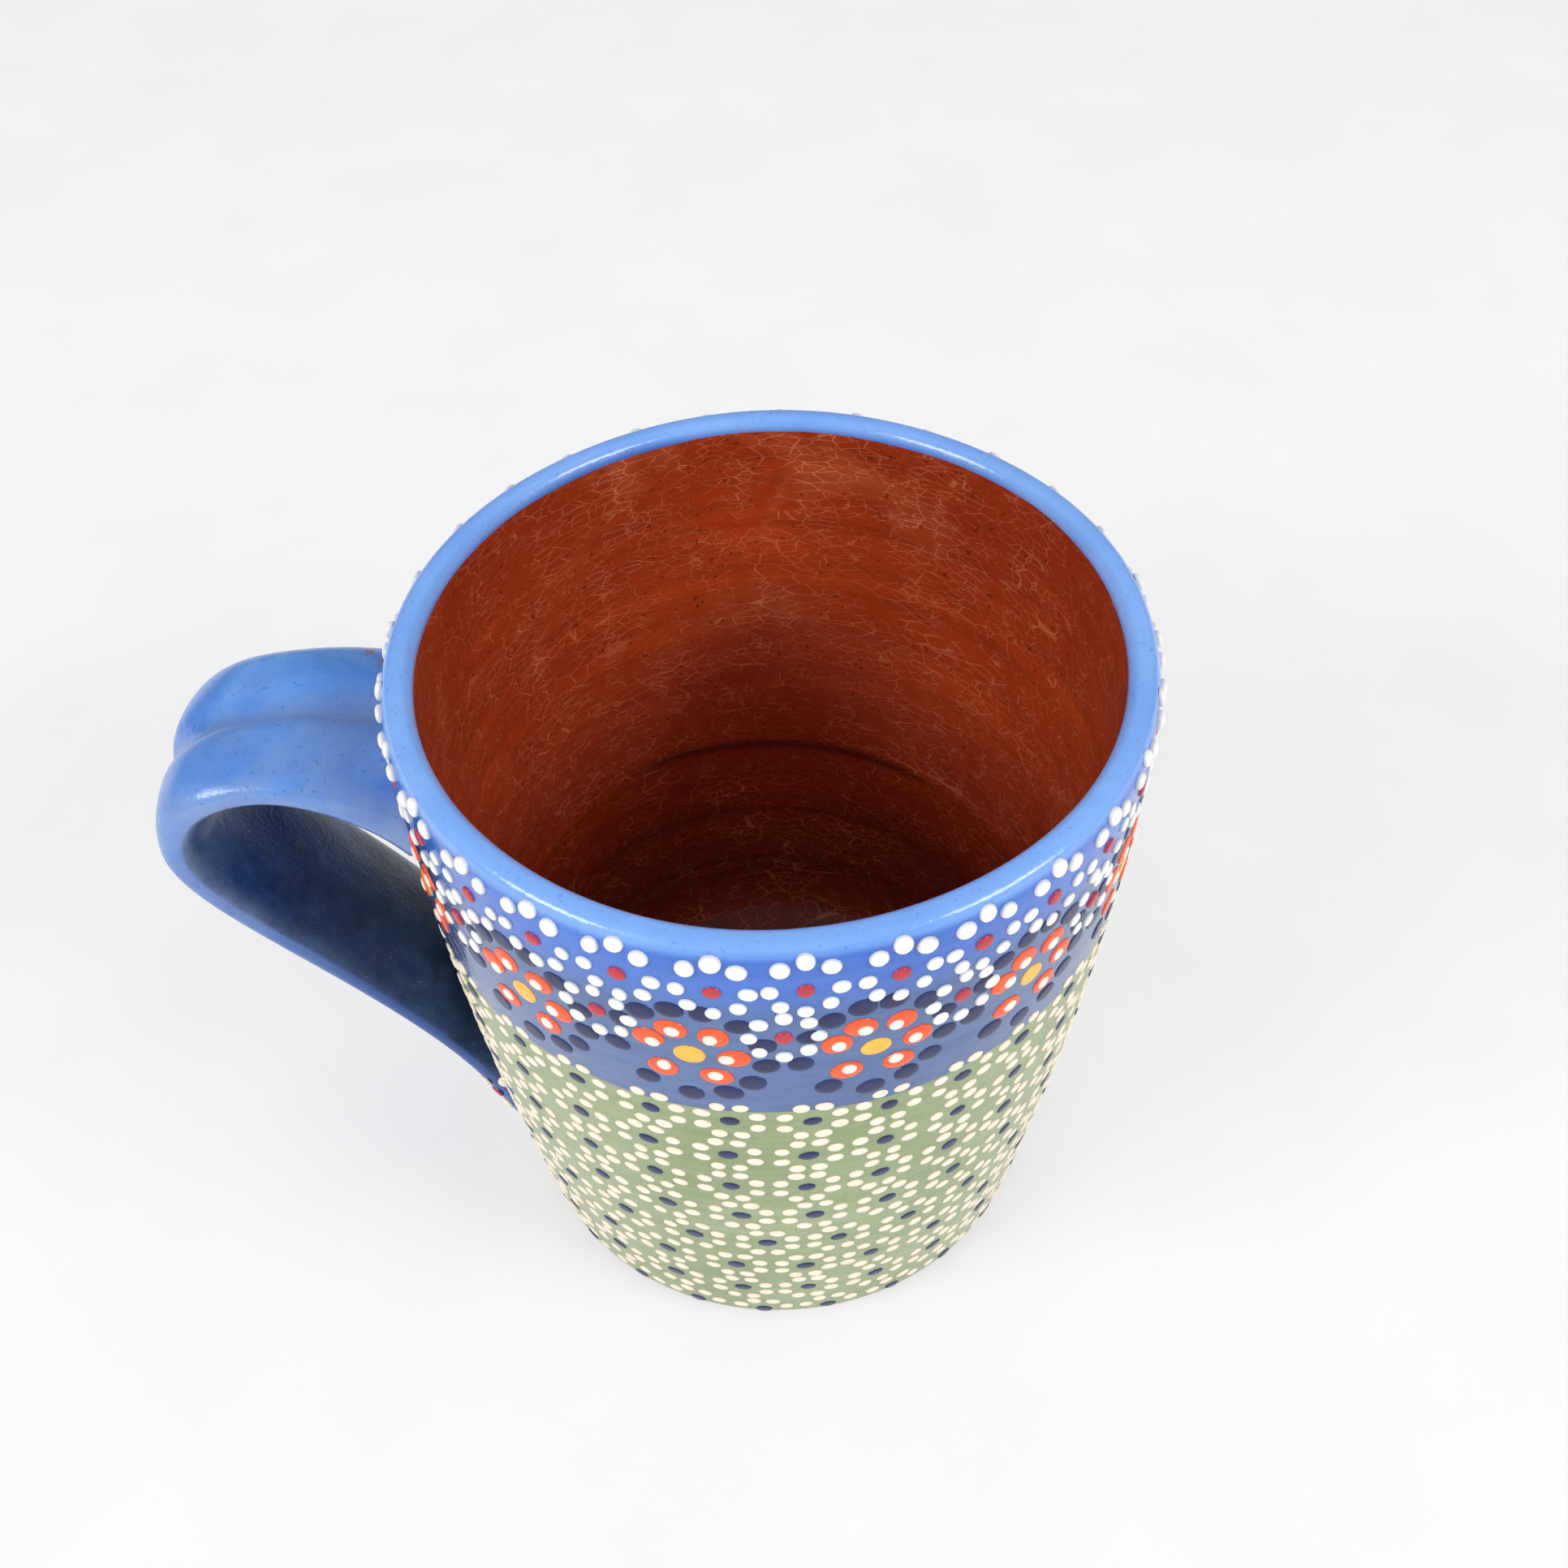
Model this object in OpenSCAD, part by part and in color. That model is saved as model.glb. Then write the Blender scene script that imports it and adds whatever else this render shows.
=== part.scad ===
/* Round clay mug with a strap handle, thrown in red clay, coated in coloured slip and
   decorated with raised dots of slip. Millimetres. The foot stands on Z = 0, the axis of
   the cup is Z and the handle points along -X. */

/* [Cup] */
// Height from the foot to the top of the lip
mug_h = 93; // [84:1:102]
// Outside diameter of the foot
foot_d = 71.4; // [66:0.2:76]
// Outside diameter of the mouth
mouth_d = 90; // [84:0.5:96]
// Exponent of the wall's curve: 1 is a straight cone, more is a fuller belly
wall_belly = 1.75; // [1.2:0.05:2.4]
// Thickness of the wall at the lip, coats included
wall_t = 3.9; // [3.4:0.1:4.8]
// Extra thickness that the wall gains on its way down to the floor
wall_swell = 1.4; // [0.4:0.1:2.4]
// Thickness of the floor at its middle, glaze included
floor_t = 6; // [4.5:0.1:8]
// Radius of the inside corner between wall and floor
floor_corner_r = 8; // [5:0.5:12]
// Height over which the outside rounds over to the lip
shoulder_h = 4; // [3:0.1:5]
// Radius of the rounded edge of the foot
foot_edge_r = 0.8; // [0.5:0.1:1.2]

/* [Coats] */
// Thickness of the coloured slip
slip_t = 0.3; // [0.2:0.05:0.45]
// Thickness of the clear glaze inside
glaze_t = 0.2; // [0.15:0.05:0.3]
// Depth below the top of the lip of the line where blue meets green
band_drop = 30.2; // [27:0.2:36]
// Height above the table at which the slip stops
slip_foot_gap = 1; // [0.9:0.1:2]
// How far the blue slip runs down inside the lip
slip_inside_drop = 1; // [0.5:0.1:1.6]

/* [Handle] */
// Width of the strap at the middle of its length
strap_w = 23.6; // [18:0.2:28]
// Thickness of the strap over its lobes, at the bend
strap_t = 6.6; // [5.4:0.1:8]
// Extra width of the strap at its top joint
root_flare_w = 3.6; // [1:0.2:5]
// Extra thickness of the strap at its top joint
root_flare_t = 3; // [1:0.2:4]
// Thickness of the strap's lower end, wiped down on the wall
tail_t = 5; // [4:0.1:6]
// Depth of the groove along the outer face
groove_depth = 1.6; // [0.5:0.1:2.4]
// Depth below the lip's top at which the strap leaves the wall
strap_top_drop = 15.5; // [14:0.5:19]
// Height at which the middle of the strap comes back to the wall
strap_low_z = 24; // [22:0.5:30]
// How far the middle of the strap stands from the axis at its furthest
strap_reach = 71.2; // [66:0.2:78]
// Depth of that furthest point below the top joint
strap_bend_drop = 6; // [4:0.5:10]
// How steeply the strap climbs from its top joint, as the height that its curve aims for
strap_rise = 7; // [5:0.5:8]
// Thickness of the joining slip under each end of the strap
joint_t = 0.6; // [0.3:0.1:1]

/* [Garland] */
// Depth of the upper rings of dots below the top of the lip
ring_top_drop = 6.6; // [6:0.1:7.5]
// Depth of the lower rings of dots below the top of the lip
ring_low_drop = 14.8; // [14.2:0.2:16]
// Radius of a ring of dots
ring_r = 3.65; // [3.2:0.05:3.9]
// How far the large dots stand above their ring's circle, up on the shoulder
large_dot_lift = 0.8; // [0:0.1:1]
// Spacing of the upper rings round the wall
ring_pitch = 9.7; // [9.6:0.05:12]
// Diameter of the large white dots, next to the lip
large_dot_d = 2.3; // [2:0.1:2.6]
// Diameter of the small white dots
small_dot_d = 1.9; // [1.5:0.1:2.2]
// Diameter of the red dots
red_dot_d = 2.1; // [1.6:0.1:2.6]

/* [Flowers] */
// Depth of the flowers below the top of the lip
flower_drop = 19; // [18.2:0.1:19.5]
// Spacing of the flowers round the wall
flower_pitch = 19.8; // [19.6:0.1:26]
// Diameter of a petal
petal_d = 3.5; // [3:0.1:3.5]
// Distance from the flower's middle to a petal's middle
petal_ring_r = 4.75; // [4.7:0.05:4.8]
// Diameter of the yellow heart
heart_d = 3.5; // [2.6:0.1:4]
// Diameter of the cream highlight on a petal
highlight_d = 1.7; // [1.2:0.1:2]
// Diameter of the navy dots round the flower
outline_dot_d = 3; // [2.2:0.1:3.1]
// Distance from the flower's middle to a navy dot
outline_ring_r = 8.2; // [8.1:0.05:8.5]

/* [Lattice] */
// Depth of the first row of rings below the line where blue meets green
lattice_drop = 2.6; // [2:0.2:5]
// Distance from one row to the next
row_pitch = 8.35; // [8:0.05:9.2]
// Spacing of the rings along a row
column_pitch = 9; // [8.8:0.1:11]
// Radius of a ring in the lattice
lattice_ring_r = 3.35; // [2.8:0.05:3.4]
// Diameter of the cream dots
cream_dot_d = 1.8; // [1.3:0.05:1.9]
// Diameter of the navy dots in the lattice
navy_dot_d = 2.1; // [1.5:0.05:2.4]

/* [Dots] */
// How proud a small dot stands, as a share of its diameter
dot_rise_share = 0.2; // [0.12:0.01:0.26]
// How proud a large dot of the garland stands, as a share of its diameter
bead_rise_share = 0.32; // [0.2:0.01:0.4]
// How far a dot wanders from its place
dot_wander = 0.16; // [0:0.02:0.2]

/* [Hidden] */

// Named overrun of every cut
over = 2;
// Clearance between a dot's flat base and the coat that it lies on
dot_seat = 0.01;
// Facets of the turned bodies and of the dots
turned_fn = 120;
dot_fn = 40;
// Steps along the wall's curve and round the lip
wall_steps = 10;
lip_steps = 10;
foot_steps = 4;

foot_r = foot_d / 2;
mouth_r = mouth_d / 2;
lip_r = wall_t / 2;
lip_z = mug_h - lip_r;
lip_middle_r = mouth_r - lip_r;
shoulder_z = mug_h - shoulder_h;
band_z = mug_h - band_drop;
strap_top_z = mug_h - strap_top_drop;
strap_bend_z = strap_top_z - strap_bend_drop;
ring_top_z = mug_h - ring_top_drop;
ring_low_z = mug_h - ring_low_drop;
flower_z = mug_h - flower_drop;
lattice_top_z = band_z - lattice_drop;
slip_edge_z = mug_h - slip_inside_drop;

// The wall's curve: outside radius at a height, and its slope
function wall_r(z) = foot_r + (mouth_r - foot_r) * (1 - pow(max(0, 1 - z / mug_h), wall_belly));
function wall_slope(z) = atan(wall_belly * (mouth_r - foot_r) / mug_h
    * pow(max(0, 1 - z / mug_h), wall_belly - 1));
function inner_r(z) = wall_r(z) - wall_t - wall_swell * (1 - z / mug_h);
// The same with the shoulder, which is a quarter of an oval. Its slope is negative: it faces up
shoulder_w = wall_r(shoulder_z) - lip_middle_r;
function outer_r(z) = z < shoulder_z ? wall_r(z)
    : lip_middle_r + shoulder_w * sqrt(max(0, 1 - pow((z - shoulder_z) / shoulder_h, 2)));
function outer_slope(z) = z < shoulder_z ? wall_slope(z)
    : -atan2(pow(shoulder_w, 2) * (z - shoulder_z), pow(shoulder_h, 2) * (outer_r(z) - lip_middle_r));

// Outlines, all as points (radius, height). Coats and clay share their heights
low_heights = [for (i = [0 : wall_steps]) slip_foot_gap + (band_z - slip_foot_gap) * i / wall_steps];
high_heights = [for (i = [0 : wall_steps]) band_z + (shoulder_z - band_z) * i / wall_steps];
corner_z = floor_t + floor_corner_r;
function wall_points(inset, heights) = [for (z = heights) [wall_r(z) - inset, z]];
function lip_points(inset, a0, a1) = [
    for (i = [0 : lip_steps]) let (a = a0 + (a1 - a0) * i / lip_steps)
        [lip_middle_r + (lip_r - inset) * cos(a), lip_z + (lip_r - inset) * sin(a)]
];
function shoulder_points(inset) = [
    for (i = [1 : lip_steps - 1]) let (a = 90 * i / lip_steps)
        [lip_middle_r + (shoulder_w - inset) * cos(a), shoulder_z + (shoulder_h - inset) * sin(a)]
];
function inner_points(inset) = [
    for (i = [1 : wall_steps]) let (z = lip_z + (corner_z - lip_z) * i / wall_steps)
        [inner_r(z) + inset, z]
];
function corner_points(inset) = [
    for (i = [1 : lip_steps]) let (a = -90 * i / lip_steps, r = floor_corner_r + inset)
        [inner_r(corner_z) - floor_corner_r + r * cos(a), corner_z + r * sin(a)]
];
function reversed(points) = [for (i = [len(points) - 1 : -1 : 0]) points[i]];
// Angle on the lip's curve at which the blue slip stops, inside the cup
slip_edge_a = 180 - asin((slip_edge_z - lip_z) / lip_r);

// The strap's middle line: two curves that meet at its furthest point
function bezier(p, t) = pow(1 - t, 3) * p[0] + 3 * pow(1 - t, 2) * t * p[1]
    + 3 * (1 - t) * t * t * p[2] + pow(t, 3) * p[3];
strap_out = strap_reach - wall_r(strap_top_z);
strap_back = strap_reach - wall_r(strap_low_z);
strap_fall = strap_bend_z - strap_low_z;
climb_out_share = 0.235;
climb_up_share = 0.81;
fall_hold_share = 0.19;
fall_back_share = 0.36;
fall_down_share = 0.495;
upper_curve = [
    [wall_r(strap_top_z), strap_top_z],
    [wall_r(strap_top_z) + climb_out_share * strap_out, strap_top_z + climb_up_share * strap_rise],
    [strap_reach, strap_top_z + strap_rise],
    [strap_reach, strap_bend_z]
];
lower_curve = [
    [strap_reach, strap_bend_z],
    [strap_reach, strap_bend_z - fall_hold_share * strap_fall],
    [wall_r(strap_low_z) + fall_back_share * strap_back, strap_bend_z - fall_down_share * strap_fall],
    [wall_r(strap_low_z), strap_low_z]
];
function bezier_slope(p, t) = 3 * pow(1 - t, 2) * (p[1] - p[0]) + 6 * (1 - t) * t * (p[2] - p[1])
    + 3 * t * t * (p[3] - p[2]);
// Place s runs from 0 at the top joint through 1 at the bend to 2 at the lower joint
function held(s) = min(2, max(0, s));
function strap_slope(s) = held(s) < 1 ? bezier_slope(upper_curve, held(s))
    : bezier_slope(lower_curve, held(s) - 1);
function strap_middle(s) = (held(s) < 1 ? bezier(upper_curve, held(s))
    : bezier(lower_curve, held(s) - 1)) + (s - held(s)) * strap_slope(s);
function ease(x) = let (c = min(1, max(0, x))) c * c * (3 - 2 * c);
// Shares of a curve over which the top joint's flare and the groove run out
flare_w_share = 0.55;
flare_t_share = 0.5;
groove_end_share = 0.3;
groove_fade_share = 0.6;
function strap_width(s) = strap_w + root_flare_w * (1 - ease(s / flare_w_share));
function strap_thickness(s) = strap_t + root_flare_t * (1 - ease(s / flare_t_share))
    - (strap_t - tail_t) * ease(s - 1);
function strap_groove(s) = groove_depth * (1 - ease((s - 1 - groove_end_share) / groove_fade_share));

// Heights between which each root of the strap covers the wall
upper_root_share = 0.72;
lower_root_share = 2.4;
upper_root_half = upper_root_share * (strap_t + root_flare_t);
lower_root_half = lower_root_share * tail_t;
upper_root_low = strap_top_z - upper_root_half;
upper_root_top = strap_top_z + upper_root_half;
lower_root_low = strap_low_z - lower_root_half;
lower_root_top = strap_low_z + lower_root_half;
strap_middle_z = (strap_top_z + strap_low_z) / 2;

// The strap's section: a flat oval with a groove along its outer face
section_power_share = 0.78;
groove_width_share = 0.2;
function signed_power(x) = sign(x) * pow(abs(x), section_power_share);
function section_point(s, a, inset) =
    let (across = signed_power(cos(a)), up = signed_power(sin(a)))
    [
        (strap_width(s) / 2 - inset) * across,
        (strap_thickness(s) / 2 - inset) * up
            - strap_groove(s) * max(0, up) * exp(-pow(across / groove_width_share, 2))
    ];
function strap_point(s, a, inset) =
    let (
        p = section_point(s, a, inset),
        m = strap_middle(s),
        d = strap_slope(s) / norm(strap_slope(s))
    )
    [-(m[0] - p[1] * d[1]), p[0], m[1] + p[1] * d[0]];

// Rings along the strap, begun and ended inside the cup
strap_start_share = -0.16;
strap_end_share = 2.2;
strap_rings = 36;
strap_sides = 28;
function strap_places() = [
    for (i = [0 : strap_rings]) strap_start_share + (strap_end_share - strap_start_share) * i / strap_rings
];
function strap_grid(inset) = [
    for (s = strap_places()) for (j = [0 : strap_sides - 1]) strap_point(s, 360 * j / strap_sides, inset)
];
function corner_index(i, j) = i * strap_sides + j % strap_sides;
// Faces of a run of rings, seen from outside, or turned to be seen from inside
function side_faces(first, turned) = [
    for (i = [0 : strap_rings - 1]) for (j = [0 : strap_sides - 1])
        let (
            a = first + corner_index(i, j),
            b = first + corner_index(i, j + 1),
            c = first + corner_index(i + 1, j + 1),
            d = first + corner_index(i + 1, j)
        )
        each turned ? [[a, c, b], [a, d, c]] : [[a, b, c], [a, c, d]]
];
function end_face(i, turned) = [
    for (j = [0 : strap_sides - 1]) corner_index(i, turned ? strap_sides - 1 - j : j)
];
function end_ring_faces(i, inner, turned) = [
    for (j = [0 : strap_sides - 1])
        let (
            a = corner_index(i, j),
            b = corner_index(i, j + 1),
            c = inner + b,
            d = inner + a
        )
        each turned ? [[a, c, b], [a, d, c]] : [[a, b, c], [a, c, d]]
];

// The whole strap, inset by the thickness of its coat or not at all
module strap(inset) {
    polyhedron(
        points = strap_grid(inset),
        faces = concat(side_faces(0, false), [end_face(0, true)], [end_face(strap_rings, false)])
    );
}

// The coat alone, as a tube open at both ends
module strap_tube() {
    count = (strap_rings + 1) * strap_sides;
    polyhedron(
        points = concat(strap_grid(0), strap_grid(slip_t)),
        faces = concat(
            side_faces(0, false),
            side_faces(count, true),
            end_ring_faces(0, count, true),
            end_ring_faces(strap_rings, count, false)
        )
    );
}

// Everything inside the clay wall, grown by a joint's thickness or not at all
module cup_filled(grown) {
    rotate_extrude($fn = turned_fn)
        polygon(concat(
            [[0, 0]],
            wall_points(slip_t - grown, low_heights),
            wall_points(slip_t - grown, high_heights),
            [[0, shoulder_z]]
        ));
}

// The thrown cup
module clay_cup() {
    edge = wall_r(foot_edge_r) - slip_t - foot_edge_r;
    color("sienna")
        rotate_extrude($fn = turned_fn)
            polygon(concat(
                [[0, 0]],
                [for (i = [0 : foot_steps]) let (a = -90 + 90 * i / foot_steps)
                    [edge + foot_edge_r * cos(a), foot_edge_r + foot_edge_r * sin(a)]],
                wall_points(slip_t, low_heights),
                wall_points(slip_t, high_heights),
                shoulder_points(slip_t),
                lip_points(slip_t, 90, slip_edge_a),
                lip_points(glaze_t, slip_edge_a, 180),
                inner_points(glaze_t),
                corner_points(glaze_t),
                [[0, floor_t - glaze_t]]
            ));
}

// The pulled strap, grooved along its outer face
module clay_handle() {
    color("sienna")
        difference() {
            strap(slip_t);
            cup_filled(joint_t);
        }
}

// A layer of joining slip between the wall and one end of the strap
module joint_slip(upper) {
    color("peru")
        difference() {
            intersection() {
                strap(slip_t);
                cup_filled(joint_t);
                translate([-mug_h, -mug_h, upper ? strap_middle_z : -over])
                    cube([2 * mug_h, 2 * mug_h, upper ? mug_h : strap_middle_z + over]);
            }
            cup_filled(0);
        }
}
module upper_joint_slip() joint_slip(true);
module lower_joint_slip() joint_slip(false);

// Blue slip over the lip and the upper wall
module blue_slip_coat() {
    color("cornflowerblue")
        difference() {
            rotate_extrude($fn = turned_fn)
                polygon(concat(
                    wall_points(0, high_heights),
                    shoulder_points(0),
                    lip_points(0, 90, slip_edge_a),
                    reversed(lip_points(slip_t, 90, slip_edge_a)),
                    reversed(shoulder_points(slip_t)),
                    reversed(wall_points(slip_t, high_heights))
                ));
            strap(0);
        }
}

// Green slip over the lower wall
module green_slip_coat() {
    color("darkseagreen")
        difference() {
            rotate_extrude($fn = turned_fn)
                polygon(concat(
                    wall_points(0, low_heights),
                    reversed(wall_points(slip_t, low_heights))
                ));
            strap(0);
        }
}

// Blue slip all round the strap
module handle_slip_coat() {
    color("royalblue")
        difference() {
            strap_tube();
            cup_filled(0);
        }
}

// Clear glaze over the inside
module inner_glaze() {
    color("firebrick")
        rotate_extrude($fn = turned_fn)
            polygon(concat(
                lip_points(0, slip_edge_a, 180),
                inner_points(0),
                corner_points(0),
                [[0, floor_t], [0, floor_t - glaze_t]],
                reversed(corner_points(glaze_t)),
                reversed(inner_points(glaze_t)),
                reversed(lip_points(glaze_t, slip_edge_a, 180))
            ));
}

// A raised dot of slip: a cap of a sphere on a flat base
rise_power_share = 0.8;
function dot_rise(d) = dot_rise_share * small_dot_d * pow(d / small_dot_d, rise_power_share);
function dome_r(d, rise) = (pow(d / 2, 2) + pow(rise, 2)) / (2 * rise);
module dome(d, rise) {
    intersection() {
        translate([0, 0, rise - dome_r(d, rise)])
            sphere(r = dome_r(d, rise), $fn = dot_fn);
        cylinder(h = 2 * rise, r = d, $fn = dot_fn);
    }
}
module dot(d) dome(d, dot_rise(d));

// Places on the wall are [angle round Z, height]; a motif's dots lie at [across, up] from it
function place(spot, offset) = [
    spot[0] + offset[0] / outer_r(spot[1] + offset[1]) * 180 / PI,
    spot[1] + offset[1]
];
module on_wall(spot) {
    rotate([0, 0, spot[0]])
        translate([outer_r(spot[1]), 0, spot[1]])
            rotate([0, 90 + outer_slope(spot[1]), 0])
                translate([0, 0, dot_seat])
                    children();
}
function polar(r, a) = [r * cos(a), r * sin(a)];
// Angles that spread the dots' small errors of placing evenly
wander_a = 137.5;
wander_b = 222.5;
wander_start = 40;
function wander(k) = dot_wander * [sin(k * wander_a), sin(k * wander_b + wander_start)];

// Whether a dot is clear of the strap's joints and above the lower edge of the slip
function off_strap(spot, d) =
    let (
        side = abs(spot[0] - 180) * PI / 180 * wall_r(spot[1]),
        beside = side > (strap_w + root_flare_w + d) / 2 + slip_t,
        between = spot[1] > lower_root_top + d / 2 && spot[1] < upper_root_low - d / 2,
        over_it = spot[1] > upper_root_top + d / 2,
        under_it = spot[1] < lower_root_low - d / 2
    )
    (beside || between || over_it || under_it) && spot[1] > slip_foot_gap + d / 4;
module on_free_wall(d, spots) {
    for (spot = spots)
        if (off_strap([(spot[0] + 360) % 360, spot[1]], d))
            on_wall(spot)
                children();
}
module dots(d, spots) {
    on_free_wall(d, spots)
        dot(d);
}

// The garland: an upper row of rings under the lip and a lower ring between each two flowers
upper_count = floor(2 * PI * wall_r(ring_top_z) / ring_pitch);
flower_count = floor(2 * PI * wall_r(flower_z) / flower_pitch);
upper_first_a = 247.6;
flower_first_a = 256.3;
lower_ring_share = 0.5;
upper_rings = [
    for (i = [0 : upper_count - 1])
        place([upper_first_a + 360 * i / upper_count, ring_top_z], wander(i))
];
flowers = [
    for (i = [0 : flower_count - 1])
        place([flower_first_a + 360 * i / flower_count, flower_z], wander(i + upper_count))
];
lower_rings = [
    for (i = [0 : flower_count - 1])
        place(
            [flower_first_a + 360 * (i + lower_ring_share) / flower_count, ring_low_z],
            wander(i + 2 * upper_count)
        )
];
ring_dots = 8;
function ring_spots(spot, r, from, count, turned) = [
    for (j = [from : from + count - 1]) place(spot, polar(r, 360 * (j + turned) / ring_dots))
];
module garland_large_dots() {
    color("white")
        on_free_wall(large_dot_d, [
            for (ring = upper_rings) each ring_spots(ring + [0, large_dot_lift], ring_r, 1, 3, 0)
        ])
            dome(large_dot_d, bead_rise_share * large_dot_d);
}
module garland_small_dots() {
    color("ivory")
        dots(small_dot_d, concat(
            [for (ring = upper_rings) each ring_spots(ring, ring_r, 4, 5, 0)],
            [for (ring = lower_rings) each ring_spots(ring, ring_r, 0, ring_dots, 0)]
        ));
}
module garland_red_dots() {
    color("indianred")
        dots(red_dot_d, concat(upper_rings, lower_rings));
}

// The flowers: a yellow heart, six petals with a highlight each, and a ring of navy dots.
// They were set down by eye, so their angles are uneven
petal_turns = [0, 55, 112, 156, 229, 305];
outline_turns = [18, 49, 78, 102, 127, 151, 188, 232, 268, 298, 323, 350];
highlight_shift_share = 0.15;
module flower_hearts() {
    color("gold")
        dots(heart_d, flowers);
}
module flower_petals() {
    color("orangered")
        dots(petal_d, [
            for (f = flowers) for (a = petal_turns) place(f, polar(petal_ring_r, a))
        ]);
}
module petal_highlights() {
    shift = highlight_shift_share * petal_d;
    petal_r = dome_r(petal_d, dot_rise(petal_d));
    color("seashell")
        for (f = flowers)
            for (a = petal_turns)
                let (spot = place(f, polar(petal_ring_r, a)))
                    if (off_strap([(spot[0] + 360) % 360, spot[1]], petal_d))
                        on_wall(spot)
                            rotate([0, 0, 90 - a])
                                translate([0, 0, dot_rise(petal_d) - petal_r])
                                    rotate([0, -asin(shift / petal_r), 0])
                                        translate([0, 0, petal_r + dot_seat])
                                            dot(highlight_d);
}
module flower_outline_dots() {
    color("midnightblue")
        dots(outline_dot_d, [
            for (f = flowers) for (a = outline_turns) place(f, polar(outline_ring_r, a))
        ]);
}

// The lattice: rows of rings down to the foot, as many in a row as the wall has room for
lattice_rows = 1 + floor((lattice_top_z - slip_foot_gap) / row_pitch);
row_turn_shares = [0.1, 0.03, 0.02, 0.11, 0.42, 0.95, 0, 0.28];
lattice_first_a = 260;
lattice_rings = [
    for (k = [0 : lattice_rows - 1])
        let (z = lattice_top_z - k * row_pitch, count = floor(2 * PI * wall_r(z) / column_pitch))
            for (i = [0 : count - 1])
                place(
                    [lattice_first_a + 360 * (i + row_turn_shares[k % len(row_turn_shares)]) / count, z],
                    wander(k * lattice_rows + i)
                )
];
module lattice_cream_dots() {
    color("antiquewhite")
        dots(cream_dot_d, [
            for (ring = lattice_rings) each ring_spots(ring, lattice_ring_r, 0, ring_dots, 0.5)
        ]);
}
module lattice_navy_dots() {
    color("midnightblue")
        dots(navy_dot_d, lattice_rings);
}

// A small ring of dots on the strap's edge, beside its lower joint
strap_ring_s_share = 2.03;
strap_ring_a = 165;
strap_ring_r = 2.9;
surface_step_share = 0.01;
surface_step_a = 1;
// Radius that turns a distance round the strap's edge into an angle of its section
edge_r = strap_t / 2;
function strap_normal(s, a) =
    let (
        along = strap_point(s + surface_step_share, a, 0) - strap_point(s - surface_step_share, a, 0),
        round_it = strap_point(s, a + surface_step_a, 0) - strap_point(s, a - surface_step_a, 0),
        n = cross(along, round_it)
    )
    n / norm(n);
module on_strap(s, a) {
    n = strap_normal(s, a);
    translate(strap_point(s, a, 0))
        rotate([0, acos(n[2]), atan2(n[1], n[0])])
            translate([0, 0, dot_seat])
                children();
}
module handle_cream_dots() {
    color("antiquewhite")
        for (j = [0 : ring_dots - 1])
            let (
                spot = polar(strap_ring_r, 360 * j / ring_dots),
                s = strap_ring_s_share + spot[1] / norm(strap_slope(strap_ring_s_share)),
                a = strap_ring_a + spot[0] / edge_r * 180 / PI
            )
                on_strap(s, a)
                    dot(small_dot_d);
}
module handle_red_dot() {
    color("indianred")
        on_strap(strap_ring_s_share, strap_ring_a)
            dot(red_dot_d);
}

clay_cup();
clay_handle();
upper_joint_slip();
lower_joint_slip();
blue_slip_coat();
green_slip_coat();
handle_slip_coat();
inner_glaze();
garland_large_dots();
garland_small_dots();
garland_red_dots();
flower_outline_dots();
flower_petals();
petal_highlights();
flower_hearts();
lattice_cream_dots();
lattice_navy_dots();
handle_cream_dots();
handle_red_dot();
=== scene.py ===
"""A hand-made clay mug with a strap handle, slip coats and raised dots, dressed round its CAD frame."""
import math

import bpy
from mathutils import Matrix, Vector


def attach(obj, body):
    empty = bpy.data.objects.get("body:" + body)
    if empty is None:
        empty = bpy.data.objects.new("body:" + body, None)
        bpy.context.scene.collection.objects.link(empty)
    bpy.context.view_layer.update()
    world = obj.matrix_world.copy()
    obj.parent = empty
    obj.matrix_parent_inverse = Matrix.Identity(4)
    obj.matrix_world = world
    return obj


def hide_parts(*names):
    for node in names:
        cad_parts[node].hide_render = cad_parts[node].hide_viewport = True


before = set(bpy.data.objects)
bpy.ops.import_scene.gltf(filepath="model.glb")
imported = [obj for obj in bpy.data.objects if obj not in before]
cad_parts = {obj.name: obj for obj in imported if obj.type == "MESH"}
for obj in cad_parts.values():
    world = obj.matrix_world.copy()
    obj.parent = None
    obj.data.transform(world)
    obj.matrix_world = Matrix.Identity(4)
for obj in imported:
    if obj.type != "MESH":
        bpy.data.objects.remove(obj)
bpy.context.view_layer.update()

# Sizes are in millimetres, as in the part's source, and become metres when a mesh is made
MM = 0.001
MUG_H = 93.0
FOOT_R = 35.7
MOUTH_R = 45.0
WALL_BELLY = 1.75
WALL_T = 3.9
WALL_SWELL = 1.4
FLOOR_T = 6.0
FLOOR_CORNER_R = 8.0
FOOT_EDGE_R = 0.8
SLIP_T = 0.3
GLAZE_T = 0.2
BAND_Z = 62.8
SLIP_FOOT_GAP = 1.0
SLIP_INSIDE_DROP = 1.7
LIP_R = WALL_T / 2
LIP_Z = MUG_H - LIP_R
# The lip's crest lies nearer the inside: a quarter oval inside it, and a fuller shoulder outside
INNER_LIP_W = 1.4
CREST_R = MOUTH_R - WALL_T + INNER_LIP_W
SHOULDER_H = 4.0
SHOULDER_Z = MUG_H - SHOULDER_H
SHOULDER_POWER = 3.2
SLIP_EDGE_A = math.pi - math.asin((LIP_R - SLIP_INSIDE_DROP) / LIP_R)

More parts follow.
